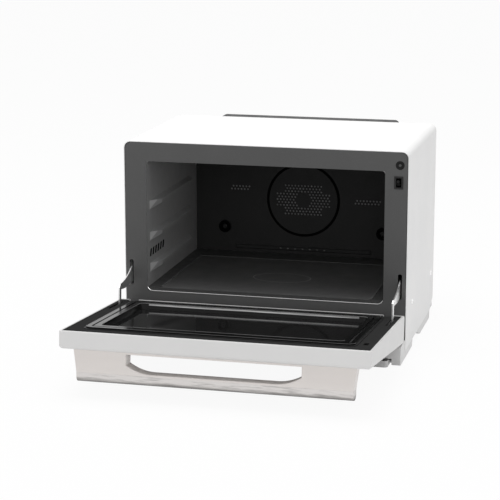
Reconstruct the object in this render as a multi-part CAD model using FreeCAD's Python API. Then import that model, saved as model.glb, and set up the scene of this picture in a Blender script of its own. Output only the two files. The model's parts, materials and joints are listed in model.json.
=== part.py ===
import FreeCAD, Part
import math
import os

V = FreeCAD.Vector

# Bench-top oven with a drop-down door, in millimetres.
# +X is right seen from the front, +Y is back, +Z is up, and the bench is at z = 0.
# The body is drawn with the face of its front frame at y = 0. The door is drawn closed, with its
# hinge axis at the origin, and then opened. Everything is moved once, at the end, so that the
# origin is under the middle of the object with its door open.

# Clearances
OVER = 1.0  # how far a cutting shape runs past the face that it cuts
TOUCH = 0.1  # between pieces that rest against each other
SEAT = 0.3  # round a piece in its seat
PRESS_GAP = 0.02  # round a fixed pin
RUNNING_GAP = 0.05  # round a turning shaft

# Outer cover and base pan
ROOF_Z = 356.0
COVER_HALF = 247.0
COVER_DEPTH = 331.0
COVER_SKIRT_Z = 16.0
COVER_RADIUS = 12.0
SHEET = 1.0
REAR_LIP = 21.0
SKIRT_RISE_Y = 286.0
SKIRT_RISE_Z = 37.0
SCREW_Y = (60.0, 280.0)
SCREW_Z = 87.0
SCREW_SHANK = (2.0, 7.0)
SCREW_HEAD = (4.6, 1.0)
SCREW_CROWN = (3.0, 2.2)
SCREW_HOLE = 2.2
PAN_GAP = 2.5
PAN_FLANGE_Z = 100.0
BASE_VENT_X = (-150.0, -108.0)
BASE_VENT_Y = (282.0, 290.0)
BASE_VENT_PITCH = 60.0
BASE_VENTS = 6

# Rear panel, motor housing and cord gland
REAR_THICK = 2.2
REAR_LAP_HALF = 233.0
REAR_LAP_Z = (40.0, 342.0)
REAR_FLUSH_HALF = 225.5
REAR_FLUSH_Z = (18.0, 334.5)
REAR_WINDOW_HALF = (102.0, 98.0)
REAR_VENT_X = (-212.0, -100.0)
REAR_VENT_Z = (34.0, 39.0)
REAR_VENT_PITCH = 10.0
REAR_VENTS = 5
REAR_COVER_HALF = 170.0
REAR_COVER_BACK = 385.0
REAR_COVER_Z = (98.0, 352.0)
REAR_COVER_WALL = 2.5
REAR_COVER_RADIUS = 9.0
LOUVRE_X = (-150.0, 20.0)
LOUVRE_LENGTH = 130.0
LOUVRE_HEIGHT = 6.0
LOUVRE_PITCH = 20.0
LOUVRE_START = 30.0
LOUVRE_ROWS = 10
CORD_X = 196.0
CORD_Z = 64.0
CORD_HOLE = 9.4
GLAND_NECK = 9.0
GLAND_FLANGE = 12.0
GLAND_NOSE = 7.5
GLAND_BORE = 4.0
GLAND_LENGTH = 20.0

# Front plinth, feet and drip tray
PLINTH_HALF = 246.0
PLINTH_FRONT = -46.0
PLINTH_TOP = 34.5
PLINTH_WALL = 2.5
PLINTH_ROUND = (4.0, 6.0)
RUNNER_INNER = 231.0
RUNNER_BACK = 86.0
RUNNER_BOTTOM = 2.0
RUNNER_SLOPE = 6.0
FRONT_FOOT_X = (233.0, 244.0)
FRONT_FOOT_Y = (-30.0, 70.0)
REAR_FOOT_X = (216.0, 246.0)
REAR_FOOT_TOP_Y = (130.0, 290.0)
REAR_FOOT_SOLE_Y = (172.0, 284.0)
TRAY_HALF = 226.0
TRAY_Y = (-58.0, -8.0)
TRAY_Z = (1.0, 12.0)
TRAY_WALL = 1.5
TRAY_CORNER = 6.0
TRAY_MOUTH_GAP = 1.6
RAIL_Z = 7.6
RAIL_THICK = 1.5
RAIL_GAP = 0.6

# Front frame
FRAME_HALF = 245.0
FRAME_Z = (38.0, 354.5)
FRAME_SHEET = 1.2
FRAME_RETURN = 12.0
OPENING_HALF = 207.5
OPENING_TOP = 322.2
OPENING_BOTTOM = 94.3
OPENING_CORNERS = (10.0, 1.5)
BRACKET_SLOT_HALF = (2.8, 9.8)

# Latch, door switch and bumper at the upper right of the front frame
LATCH_X = 230.5
LATCH_Z = 303.7
LATCH_FLANGE = (7.6, 10.8)
LATCH_HOUSING = (6.3, 9.6)
LATCH_HOLE = (6.5, 9.8)
LATCH_POCKET = (4.5, 8.0)
LATCH_DEPTH = 20.0
LATCH_WALL = 2.0
LATCH_PIN_Y = 10.0
LATCH_PIN_RADIUS = 2.0
LATCH_PIN_HALF = 5.0
HOOK_HALF = 2.0
HOOK_REACH = 10.5
HOOK_SHANK = 3.2
HOOK_BARB = 5.5
HOOK_NOSE = (4.0, 3.0, 2.0)
HOOK_BOSS = 5.0
SWITCH_HALF = (5.0, 8.0)
SWITCH_Y = (20.2, 42.0)
TERMINAL_Z = (-6.0, 0.0, 5.0)
TERMINAL_END = 49.0
TERMINAL_HALF = 1.5
BUMPER_X = 232.3
BUMPER_Z = 333.0
BUMPER_HOLE = 3.0
BUMPER_RADIUS = 7.5
BUMPER_STEM = (2.4, 8.0)
BUMPER_CUP = (3.4, 0.6)
BUMPER_HEIGHT = 1.2

# Hinge
HINGE_Y = -37.5
HINGE_Z = 52.25
HINGE_PIN_RADIUS = 3.0
HINGE_PIN_X = (206.0, 238.0)
HINGE_EYE = 8.0
BRACKET_X = 222.0
BRACKET_THICK = 3.0
BRACKET_BACK = 20.0
BRACKET_FOOT = (17.0, 2.0)
CHEEK_THICK = 8.0
CHEEK_X = (205.0, 231.0)
CHEEK_DEPTH = (-9.0, 10.0)
CHEEK_S = (-10.6, -4.0, 10.0)
CHEEK_ROUND = 4.0

# Oven chamber
CHAMBER_BACK = 321.0
CHAMBER_LOW = 95.0
CHAMBER_RADIUS = 6.0
SHELF_LEVELS = (131.0, 186.5, 242.0)
SHELF_DEPTH = 9.0
SHELF_FOOT_Y = (18.0, 268.0)
SHELF_CREST_Y = (62.0, 258.0)
SHELF_FOOT_HALF = 8.0
SHELF_CREST_HALF = 3.5
SHELF_HOLLOW = 1.2
SHELF_ROOT = 0.2
WALL_VENTS = 6
WALL_VENT_Y = 18.0
WALL_VENT_PITCH = 15.0
WALL_VENT_WIDTH = 5.0
WALL_VENT_LEAN = 4.0
WALL_VENT_Z = (151.0, 163.0)
SENSOR_Y = 292.0
SENSOR_Z = 296.0
SENSOR_RADIUS = 2.5
SENSOR_FLANGE = 8.0
SENSOR_TAIL = 12.0
SENSOR_TIP = 10.0
LAMP_Y = (98.0, 140.0)
LAMP_Z = (268.0, 302.0)
LAMP_WIDTH = 24.0
LAMP_WALL = 1.5
LAMP_SLOTS = 4
LAMP_SLOT_Y = 104.0
LAMP_SLOT_WIDTH = 4.0
LAMP_SLOT_Z = (276.0, 294.0)
BULB_RADIUS = 8.0
BULB_NECK = 6.0
BULB_LENGTH = 20.0
FLOOR_Z = 99.5
PLATE_HALF = 183.0
PLATE_Y = (10.0, 264.0)
PLATE_THICK = 4.1
PLATE_CORNER = 6.0
SEAL_WIDTH = 3.6
SEAL_CROWN = 0.4

# Back wall and fan cover
BACK_FACE = CHAMBER_BACK - 0.8
HOLE_PITCH = 6.2
HOLE_SIZE = 1.9
ROW_RATIO = math.sin(math.radians(60))
LEFT_PATCH = (6, 2, -138.0, 219.0)
RIGHT_PATCH = (8, 2, 99.0, 201.0)
CHANNEL_HALF = (131.0, 128.0)
CHANNEL_Z = (104.5, 113.5)
CHANNEL_SLOPE = 2.3
CHANNEL_RISE = 2.5
CHANNEL_SLOTS = 7
CHANNEL_SLOT_X = -45.0
CHANNEL_SLOT_PITCH = 14.0
CHANNEL_SLOT_WIDTH = 4.0
CHANNEL_SLOT_Z = (107.6, 110.4)
BOSS_X = 151.0
BOSS_Z = 146.4
BOSS_RADII = (5.0, 10.0, 12.5)
BOSS_RISE = 4.0
FAN_Z = 203.0
FAN_HOLE = 69.0
FAN_COVER = 65.0
FAN_COVER_RIM = 78.0
FAN_COVER_STEP = 2.6
FAN_COVER_FACE = 1.6
FIELD_ROWS = 5
FIELD_COLUMNS = 8
FIELD_TALL = (37.0, 32.0)
FIELD_WIDE = (51.0, 13.0)
FIELD_CENTRE = 14.0

# Convection fan and heaters
HOUSING_FRONT = CHAMBER_BACK + 2.2
HOUSING_BACK = 347.0
HOUSING_HALF = 92.0
HOUSING_CORNER = 22.0
HOUSING_FLANGE = (99.0, 96.0)
SHAFT_RADIUS = 3.0
SHAFT_HOLE = 8.0
SHAFT_Y = (330.0, 373.0)
FAN_RADIUS = 57.0
FAN_HUB = 9.0
FAN_Y = (329.5, 331.5, 340.5, 344.5)
FAN_BLADES = 12
BLADE_HALF = 0.6
BLADE_RISE = 30.0
RING_RADIUS = 76.0
RING_TUBE = 3.2
RING_Y = 335.0
RING_LEG_X = 9.0
RING_LEG_END = 356.0
RING_LEG_HOLE = 4.0
MOTOR_HALF = 31.0
MOTOR_STACK = 16.0
MOTOR_CAP = 24.0
MOTOR_BOSS = 9.0
MOTOR_CAP_HEIGHTS = (8.0, 12.0, 19.0)
MOTOR_BORE_END = 27.0
GRILL_HALF = 172.0
GRILL_Y = (40.0, 290.0)
GRILL_THICK = 2.0
RIBBON_HALF = 160.0
RIBBON_WIDTH = 12.0
RIBBON_PITCH = 24.0
RIBBON_START = 50.0
RIBBON_RISE = 1.2
RIBBONS = 10

# Microwave feed under the floor
WELL_Y = 137.0
WELL_RADIUS = 92.0
WELL_DEPTH = 18.0
WELL_BORE = 8.0
ANTENNA_RADIUS = 78.0
ANTENNA_DROP = 8.0
ANTENNA_THICK = 1.2
ANTENNA_WINDOW = ((22.0, 20.0, 6.0), (58.0, 26.0, 8.0))
STEM_LOW = 42.0
GUIDE_X = (-46.0, 196.0)
GUIDE_Y = (96.0, 178.0)
GUIDE_LOW = 52.0
GUIDE_MOUTH = 12.0
GUIDE_STEM_HOLE = 4.0
CAN_RADIUS = 25.0
CAN_Z = (28.0, 51.8)
CAN_CHAMFER = 2.0
CAN_EAR = (33.0, 6.0, 1.5)
MAGNETRON_X = (110.0, 190.0)
MAGNETRON_Y = (104.0, 170.0)
MAGNETRON_Z = (18.0, 51.8)
MAGNETRON_WALL = 2.0
MAGNETRON_CORE = 19.0
MAGNETRON_FINS = (26.0, 31.0, 36.0, 41.0)
DOME_RADIUS = 9.0
DOME_HEIGHT = 14.0
DOME_HOLE = 13.0

# Boards and cooling fan on the base pan
BOARD_Z = 24.0
BOARD_THICK = 1.6
PILLAR_RADIUS = 3.0
PILLAR_INSET = 6.0
INVERTER_SPAN = (-222.0, -100.0, 60.0, 205.0)
HEAT_SINK_FOOT = (-216.0, 66.0, 34.0, 68.0, 4.0)
HEAT_SINK_FIN = (-214.0, 70.0, 2.0, 60.0, 34.0)
HEAT_SINK_FINS = 6
HEAT_SINK_PITCH = 5.0
INVERTER_BLOCKS = [(-168.0, 80.0, 46.0, 44.0, 36.0), (-200.0, 150.0, 24.0, 40.0, 26.0),
                   (-160.0, 150.0, 18.0, 18.0, 30.0), (-134.0, 150.0, 18.0, 18.0, 30.0)]
POWER_SPAN = (70.0, 216.0, 212.0, 310.0)
POWER_BLOCKS = [(80.0, 224.0, 28.0, 22.0, 20.0), (116.0, 224.0, 28.0, 22.0, 20.0),
                (160.0, 224.0, 40.0, 36.0, 30.0), (84.0, 266.0, 50.0, 30.0, 14.0),
                (160.0, 276.0, 20.0, 20.0, 24.0)]
COOLER_X = -160.0
COOLER_Z = 54.5
COOLER_HALF = 37.0
COOLER_Y = (236.0, 261.0)
COOLER_BORE = 34.0
COOLER_HUB = 13.0
COOLER_HUB_Y = (238.5, 255.5)
COOLER_STRUT_Y = (256.0, 260.0)
COOLER_STRUT_HALF = 2.0
COOLER_PIN = 2.0
COOLER_BLADES = 7
COOLER_BLADE_RADII = (12.0, 31.5)
COOLER_BLADE_HALF = (0.6, 8.0)
COOLER_BLADE_TWIST = 50.0

# Door: depth is from the hinge axis towards the chamber, and s runs up the closed door
OPEN_ANGLE = 85.5
DOOR_HALF = 248.0
DOOR_FACE = 32.5
DOOR_TOP = 303.5
DOOR_NOSE = 16.5
DOOR_TOP_DEPTH = 29.0
DOOR_HEEL = -13.8
DOOR_WALL = 3.0
DOOR_ROUND = (1.5, 6.0, 14.0, 9.0)
DOOR_SIDE_ROUND = 6.0
DOOR_DEEP = 70.0
DOOR_LEDGE = (23.5, -4.5)
FACE_SLOPE = (DOOR_FACE - DOOR_TOP_DEPTH + DOOR_NOSE) / DOOR_TOP
FACE_TILT = math.degrees(math.atan(FACE_SLOPE))
MARGIN_THICK = 2.5
MARGIN_LOW = 0.6
MARGIN_GAP = 4.0
NOTCH_HALF = 8.5
NOTCH_TOP = 9.5
NOTCH_FRONT = 0.8
RIDGE_HEIGHT = 3.3
RIDGE_HALF = 216.0
RIDGE_S = (22.0, 276.0)
RIDGE_CORNER = 12.0
RIDGE_FLANGE = 8.0
GROOVE = (-8.0, -11.0, 2.3)
GASKET = (3.7, 0.3, 1.0)
GASKET_TIGHTER = 2.0
RECESS_HALF = 196.0
RECESS_S = (42.0, 256.0)
RECESS_DEPTH = 6.0
RECESS_SLOPE = 4.5
RECESS_CORNER = 8.0
INNER_GLASS_LAP = 9.0
INNER_GLASS_THICK = 4.0
ARM_OPENING_S = (22.0, 92.0)
ARM_OPENING_HALF = 2.8
HOOK_SLOT_HALF = (4.0, 9.0)

# Handle
HANDLE_HALF = 226.0
HANDLE_TAPER = 5.0
HANDLE_S = (274.0, 298.5)
HANDLE_REACH = 52.0
HANDLE_BAND = 16.0
HANDLE_ROOT = 6.0
HANDLE_NOSE = 10.0
GRIP_HALF = 140.0
GRIP_GAP = 1.5
GRIP_END = 17.0
GRIP_MIDDLE = 30.0
GRIP_CORNER = 42.0
GRIP_ROUND = 2.0

# Stay arms: each turns on a door pin and slides through a slot in the front frame
ARM_X = 235.5
ARM_THICK = 2.0
ARM_PIN = (20.6, 34.7)
ARM_PIN_RADIUS = 2.5
ARM_GUIDE = (38.5, 70.25)
ARM_TURN = 0.28
ARM_SLOT_Z = (104.0, 148.0)
ARM_SLOT_WIDTH = 7.0
ARM_SLOT_CORNER = 3.0
ARM_HALF = (4.5, 13.0)
ARM_TAIL = 14.0
ARM_STEPS = 6
ARM_BOSS = 6.0
ARM_LEG_HALF = 4.2
ARM_KNEE = ((5.5, -1.0), (1.0, 4.2), (-4.5, 0.0))
ARM_CHEEK_X = (-6.6, 3.8)
ARM_CHEEK_THICK = 2.8
ARM_CHEEK_HALF = (7.0, 9.0)
ARM_CHEEK_CORNER = 3.0
ARM_PIN_HALF = 6.6

# Controls on the outer face of the door: t runs up the face
PANEL_T = (14.0, 80.0)
PANEL_HALF = 228.0
PANEL_THICK = 1.5
PANEL_CORNER = 3.0
LENS_X = (-46.0, 66.0)
LENS_HALF = 17.0
LENS_BED = 0.8
LENS_CORNER = 2.0
LENS_PROUD = 0.2
DIAL_X = 160.0
DIAL_T = 47.0
DIAL_RADIUS = 18.0
DIAL_HEIGHT = 12.0
DIAL_LIFT = 0.6
DIAL_STEM = 8.2
DIAL_BEVEL = 1.5
DIAL_RIM = 4.0
DIAL_DISH = 1.0
DIAL_MARK = (0.8, 6.0, 2.0)
BUTTON_X = (-190.0, -155.0, -120.0, -85.0)
BUTTON_SIZE = (24.0, 11.0)
BUTTON_CORNER = 2.0
BUTTON_RISE = 2.4
BUTTON_COLLAR = 2.0
BUTTON_COLLAR_Y = (3.2, 4.6)
FACE_CUT = 8.0
CONTROL_BOARD_X = (-205.0, 185.0)
CONTROL_BOARD_Y = (8.6, 10.2)
CONTROL_PILLAR_X = (-60.0, 110.0)
CONTROL_PILLAR_T = (24.0, 70.0)
CHIP_X = (-180.0, -120.0, 20.0, 60.0)
CHIP_SIZE = (16.0, 3.0)
CHIP_T = (34.0, 60.0)
WINDOW_HALF = 205.0
WINDOW_T = (92.0, 268.0)
WINDOW_CORNER = 4.0
WINDOW_LAP = 9.0
GLASS_THICK = 1.8

nodes = {}


# Drawing helpers

def spot(plane, u, v, level):
    if plane == "xz":
        return V(u, level, v)
    if plane == "yz":
        return V(level, u, v)
    return V(u, v, level)


def normal(plane):
    return {"xz": V(0, 1, 0), "yz": V(1, 0, 0), "xy": V(0, 0, 1)}[plane]


def outline(points, plane, level):
    """Closed wire through (u, v) or (u, v, radius) corners, the radius as a tangent arc."""
    count = len(points)
    joints = []
    for i in range(count):
        here = points[i]
        p = spot(plane, here[0], here[1], level)
        radius = here[2] if len(here) > 2 else 0.0
        if radius <= 0.0:
            joints.append((p, p, None))
            continue
        before = points[i - 1]
        after = points[(i + 1) % count]
        to_before = (spot(plane, before[0], before[1], level) - p).normalize()
        to_after = (spot(plane, after[0], after[1], level) - p).normalize()
        half = to_before.getAngle(to_after) / 2.0
        reach = radius / math.tan(half)
        bisector = (to_before + to_after).normalize()
        middle = p + bisector * (radius / math.sin(half) - radius)
        joints.append((p + to_before * reach, p + to_after * reach, middle))
    edges = []
    for i in range(count):
        start, end, middle = joints[i]
        if middle is not None:
            edges.append(Part.Arc(start, middle, end).toShape())
        following = joints[(i + 1) % count][0]
        if (following - end).Length > 1e-6:
            edges.append(Part.LineSegment(end, following).toShape())
    return Part.Wire(edges)


def slab(points, plane, start, end):
    """Outline drawn at one level of a plane and pushed to another."""
    return Part.Face(outline(points, plane, start)).extrude(normal(plane) * (end - start))


def rect(u0, u1, v0, v1, radius=0.0):
    return [(u0, v0, radius), (u1, v0, radius), (u1, v1, radius), (u0, v1, radius)]


def centred(x, z, half, radius=0.0):
    """Rectangle centred on a point, from its half width and half height."""
    return rect(x - half[0], x + half[0], z - half[1], z + half[1], radius)


def box(x0, x1, y0, y1, z0, z1):
    return Part.makeBox(x1 - x0, y1 - y0, z1 - z0, V(x0, y0, z0))


def rod(start, end, radius):
    return Part.makeCylinder(radius, (end - start).Length, start, end - start)


def rod_y(x, z, start, end, radius):
    return rod(V(x, start, z), V(x, end, z), radius)


def rod_z(x, y, start, end, radius):
    return rod(V(x, y, start), V(x, y, end), radius)


def placed(shape, place):
    copy = shape.copy()
    copy.Placement = place.multiply(copy.Placement)
    return copy


def turned(profile, base, direction):
    """Solid of revolution of a (radius, height) profile, its height along a direction."""
    shape = Part.Face(outline(profile, "xz", 0.0)).revolve(V(0, 0, 0), V(0, 0, 1), 360)
    return placed(shape, FreeCAD.Placement(base, FreeCAD.Rotation(V(0, 0, 1), direction)))


def frustum(base, crest):
    """Pressed rib between a closed base wire and a smaller crest wire."""
    return Part.makeLoft([base, crest], True, True)


def mirrored(shape):
    return shape.mirror(V(0, 0, 0), V(1, 0, 0))


def pair(shape):
    return Part.makeCompound([shape, mirrored(shape)])


def fused(shapes):
    return shapes[0].multiFuse(shapes[1:]).removeSplitter()


def softened(shape, radius, wanted):
    """Fillet of the edges whose middle point passes a test."""
    edges = [e for e in shape.Edges if wanted(e.CenterOfMass)]
    return shape.makeFillet(radius, edges)


def near(a, b):
    return abs(a - b) < 1e-3


def holed(outer, holes, depth):
    """Flat sheet with holes, from an outer wire and its hole wires, pushed back by a depth."""
    face = Part.makeFace([outer] + holes, "Part::FaceMakerBullseye")
    return face.extrude(V(0, depth, 0))


def hexagon(x, z, size, y):
    angles = [math.radians(60 * k) for k in range(6)]
    return outline([(x + size * math.cos(a), z + size * math.sin(a)) for a in angles], "xz", y)


def ring(radius, y, z):
    return Part.Wire(Part.makeCircle(radius, V(0, y, z), V(0, 1, 0)))


# Outer cover and base pan

def hood(half, front, depth, bottom, top, radius):
    """Box with its top, rear and rear corner edges rounded."""
    shape = box(-half, half, front, depth, bottom, top)

    def rounded(c):
        return near(c.z, top) + near(c.y, depth) + near(abs(c.x), half) >= 2

    return softened(shape, radius, rounded)


def screw_spots():
    return [V(side * COVER_HALF, y, SCREW_Z) for side in (-1, 1) for y in SCREW_Y]


def screw_hole(p):
    inward = V(math.copysign(SCREW_SHANK[1], p.x), 0, 0)
    return rod(p - inward, p + inward, SCREW_HOLE)


def outer_cover():
    outside = hood(COVER_HALF, 0, COVER_DEPTH, COVER_SKIRT_Z, ROOF_Z, COVER_RADIUS)
    inside = hood(COVER_HALF - SHEET, -OVER, COVER_DEPTH - SHEET, COVER_SKIRT_Z - OVER, ROOF_Z - SHEET,
                  COVER_RADIUS - SHEET)
    rear_half = COVER_HALF - REAR_LIP
    rear_opening = box(-rear_half, rear_half, COVER_DEPTH - 2 * SHEET, COVER_DEPTH + OVER,
                       COVER_SKIRT_Z - OVER, ROOF_Z - REAR_LIP)
    low = COVER_SKIRT_Z - OVER
    rear = COVER_DEPTH + OVER
    rise = slab([(SKIRT_RISE_Y, COVER_SKIRT_Z), (rear, SKIRT_RISE_Z), (rear, low), (SKIRT_RISE_Y, low)],
                "yz", -COVER_HALF - OVER, COVER_HALF + OVER)
    return outside.cut([inside, rear_opening, rise] + [screw_hole(p) for p in screw_spots()])


def cover_screws():
    shank, length = SCREW_SHANK
    head, rim = SCREW_HEAD
    crown, height = SCREW_CROWN
    profile = [(0, -length), (shank, -length), (shank, 0), (head, 0), (head, rim), (crown, height),
               (0, height)]
    return Part.makeCompound([turned(profile, p, V(p.x, 0, 0)) for p in screw_spots()])


def base_pan():
    half = COVER_HALF - SHEET - TOUCH
    back = COVER_DEPTH - PAN_GAP
    floor_top = COVER_SKIRT_Z + SHEET
    front = 2 * SHEET
    floor = slab([(-half, front), (half, front), (half, back, COVER_RADIUS), (-half, back, COVER_RADIUS)],
                 "xy", COVER_SKIRT_Z, floor_top)
    side = box(half - SHEET, half, FRAME_RETURN + SHEET, back - COVER_RADIUS, COVER_SKIRT_Z, PAN_FLANGE_Z)
    vents = []
    for i in range(BASE_VENTS):
        x = BASE_VENT_PITCH * i
        vents.append(box(BASE_VENT_X[0] + x, BASE_VENT_X[1] + x, BASE_VENT_Y[0], BASE_VENT_Y[1],
                         COVER_SKIRT_Z - OVER, floor_top + OVER))
    return fused([floor, side, mirrored(side)]).cut(vents + [screw_hole(p) for p in screw_spots()])


# Rear panel, motor housing and cord gland

def rear_panel():
    front = COVER_DEPTH - REAR_THICK
    cut_y = (front - OVER, COVER_DEPTH + OVER)
    lap_back = COVER_DEPTH - SHEET - TOUCH / 2
    lap = box(-REAR_LAP_HALF, REAR_LAP_HALF, front, lap_back, REAR_LAP_Z[0], REAR_LAP_Z[1])
    flush = box(-REAR_FLUSH_HALF, REAR_FLUSH_HALF, front, COVER_DEPTH, REAR_FLUSH_Z[0], REAR_FLUSH_Z[1])
    fan_window = slab(centred(0, FAN_Z, REAR_WINDOW_HALF, HOUSING_CORNER), "xz", *cut_y)
    vents = []
    for i in range(REAR_VENTS):
        z = REAR_VENT_PITCH * i
        vents.append(box(REAR_VENT_X[0], REAR_VENT_X[1], cut_y[0], cut_y[1],
                         REAR_VENT_Z[0] + z, REAR_VENT_Z[1] + z))
    cord_hole = rod_y(CORD_X, CORD_Z, cut_y[0], cut_y[1], CORD_HOLE)
    return fused([lap, flush]).cut([fan_window, cord_hole] + vents)


def rear_cover_block(inset, start):
    """Housing block with all edges rounded but those of its open front."""
    half = REAR_COVER_HALF - inset
    shape = box(-half, half, start, REAR_COVER_BACK - inset, REAR_COVER_Z[0] + inset, REAR_COVER_Z[1] - inset)
    return softened(shape, REAR_COVER_RADIUS - inset, lambda c: not near(c.y, start))


def rear_cover():
    shell = rear_cover_block(0, COVER_DEPTH).cut(rear_cover_block(REAR_COVER_WALL, COVER_DEPTH - OVER))
    louvres = []
    for row in range(LOUVRE_ROWS):
        z = REAR_COVER_Z[0] + LOUVRE_START + LOUVRE_PITCH * row
        for x in LOUVRE_X:
            louvres.append(box(x, x + LOUVRE_LENGTH, REAR_COVER_BACK - REAR_COVER_WALL - OVER,
                               REAR_COVER_BACK + OVER, z, z + LOUVRE_HEIGHT))
    return shell.cut(louvres)


def cord_gland():
    flange_thick = 4.0
    neck_depth = 3.0
    bore_floor = 2.0
    profile = [(0, -neck_depth), (GLAND_NECK, -neck_depth), (GLAND_NECK, 0), (GLAND_FLANGE, 0),
               (GLAND_FLANGE, flange_thick), (GLAND_NOSE, GLAND_LENGTH), (GLAND_BORE, GLAND_LENGTH),
               (GLAND_BORE, bore_floor), (0, bore_floor)]
    return turned(profile, V(CORD_X, COVER_DEPTH, CORD_Z), V(0, 1, 0))


# Front plinth, feet and drip tray

def front_plinth():
    half = PLINTH_HALF
    block = slab([(PLINTH_FRONT, RUNNER_BOTTOM, PLINTH_ROUND[0]), (-TOUCH, RUNNER_BOTTOM),
                  (-TOUCH, PLINTH_TOP), (PLINTH_FRONT, PLINTH_TOP, PLINTH_ROUND[1])], "yz", -half, half)
    room = box(PLINTH_WALL - half, half - PLINTH_WALL, PLINTH_FRONT + PLINTH_WALL, OVER, 0,
               PLINTH_TOP - PLINTH_WALL)
    tray_mouth = box(-RUNNER_INNER, RUNNER_INNER, PLINTH_FRONT - OVER, 0, 0, TRAY_Z[1] + TRAY_MOUTH_GAP)
    runner_top = COVER_SKIRT_Z - TOUCH
    runner_front = PLINTH_FRONT + PLINTH_WALL
    runner = slab([(runner_front, RUNNER_BOTTOM), (RUNNER_BACK - RUNNER_SLOPE, RUNNER_BOTTOM),
                   (RUNNER_BACK, runner_top), (runner_front, runner_top)], "yz", RUNNER_INNER, half)
    rail = box(TRAY_HALF + TRAY_MOUTH_GAP, RUNNER_INNER + OVER, runner_front, -OVER,
               RAIL_Z - RAIL_THICK - TOUCH, RAIL_Z - 2 * TOUCH)
    return fused([block.cut([room, tray_mouth]), runner, mirrored(runner), rail, mirrored(rail)])


def front_feet():
    pad = box(FRONT_FOOT_X[0], FRONT_FOOT_X[1], FRONT_FOOT_Y[0], FRONT_FOOT_Y[1], 0, RUNNER_BOTTOM)
    return pair(pad)


def rear_feet():
    top = COVER_SKIRT_Z - TOUCH / 2
    foot = slab([(REAR_FOOT_TOP_Y[0], top), (REAR_FOOT_SOLE_Y[0], 0), (REAR_FOOT_SOLE_Y[1], 0),
                 (REAR_FOOT_TOP_Y[1], top)], "yz", REAR_FOOT_X[0], REAR_FOOT_X[1])
    return pair(foot)


def tray_block(inset, low, high):
    return slab(rect(inset - TRAY_HALF, TRAY_HALF - inset, TRAY_Y[0] + inset, TRAY_Y[1] - inset,
                     TRAY_CORNER - inset), "xy", low, high)


def drip_tray():
    hollow = tray_block(TRAY_WALL, TRAY_Z[0] + TRAY_WALL, TRAY_Z[1] + OVER)
    rail = box(TRAY_HALF - OVER, RUNNER_INNER - RAIL_GAP, PLINTH_FRONT + 2 * PLINTH_WALL,
               TRAY_Y[1] - TRAY_CORNER, RAIL_Z, RAIL_Z + RAIL_THICK)
    return fused([tray_block(0, *TRAY_Z).cut(hollow), rail, mirrored(rail)])


# Front frame with its latch, switch, bumper and hinge brackets

def frame_plate(inset, start, end):
    half = FRAME_HALF - inset
    low = FRAME_Z[0] + inset
    high = FRAME_Z[1] - inset
    corner = COVER_RADIUS - inset
    return slab([(-half, low), (half, low), (half, high, corner), (-half, high, corner)], "xz", start, end)


def front_frame():
    cut_y = (-OVER, FRAME_SHEET + OVER)
    pan = frame_plate(0, 0, FRAME_RETURN).cut(frame_plate(FRAME_SHEET, FRAME_SHEET, FRAME_RETURN + OVER))
    low_corner, high_corner = OPENING_CORNERS
    opening = slab([(-OPENING_HALF, OPENING_BOTTOM, low_corner), (OPENING_HALF, OPENING_BOTTOM, low_corner),
                    (OPENING_HALF, OPENING_TOP, high_corner), (-OPENING_HALF, OPENING_TOP, high_corner)],
                   "xz", *cut_y)
    half_slot = ARM_SLOT_WIDTH / 2
    arm_slot = slab(rect(ARM_X - half_slot, ARM_X + half_slot, ARM_SLOT_Z[0], ARM_SLOT_Z[1], ARM_SLOT_CORNER),
                    "xz", *cut_y)
    bracket_slot = slab(centred(BRACKET_X, HINGE_Z, BRACKET_SLOT_HALF), "xz", *cut_y)
    latch_hole = slab(centred(LATCH_X, LATCH_Z, LATCH_HOLE), "xz", *cut_y)
    bumper_hole = rod_y(BUMPER_X, BUMPER_Z, cut_y[0], cut_y[1], BUMPER_HOLE)
    return pan.cut([opening, arm_slot, mirrored(arm_slot), bracket_slot, mirrored(bracket_slot),
                    latch_hole, bumper_hole])


def latch_receptacle():
    """Moulded pocket in the front frame, with the cross pin that the latch hook turns on."""
    flange = slab(centred(LATCH_X, LATCH_Z, LATCH_FLANGE), "xz", -SHEET, 0)
    housing = slab(centred(LATCH_X, LATCH_Z, LATCH_HOUSING), "xz", -SHEET / 2, LATCH_DEPTH)
    pocket = slab(centred(LATCH_X, LATCH_Z, LATCH_POCKET), "xz", -2 * SHEET, LATCH_DEPTH - LATCH_WALL)
    left = V(LATCH_X - LATCH_PIN_HALF, LATCH_PIN_Y, LATCH_Z)
    right = V(LATCH_X + LATCH_PIN_HALF, LATCH_PIN_Y, LATCH_Z)
    pin = rod(left, right, LATCH_PIN_RADIUS)
    return fused([fused([flange, housing]).cut(pocket), pin])


def latch_hook():
    """Sprung hook that reaches out of its pocket into the slot of the closed door."""
    left = V(LATCH_X - HOOK_HALF, LATCH_PIN_Y, LATCH_Z)
    right = V(LATCH_X + HOOK_HALF, LATCH_PIN_Y, LATCH_Z)
    tip = -HOOK_REACH
    throat, barb, chin = [tip + step for step in HOOK_NOSE]
    shank = slab([(LATCH_PIN_Y, LATCH_Z - HOOK_SHANK), (LATCH_PIN_Y, LATCH_Z + HOOK_SHANK),
                  (throat, LATCH_Z + HOOK_SHANK), (barb, LATCH_Z + HOOK_BARB), (tip, LATCH_Z + HOOK_HALF),
                  (chin, LATCH_Z - HOOK_SHANK)], "yz", left.x, right.x)
    past = V(OVER, 0, 0)
    bore = rod(left - past, right + past, LATCH_PIN_RADIUS + RUNNING_GAP)
    return fused([shank, rod(left, right, HOOK_BOSS)]).cut(bore)


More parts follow.
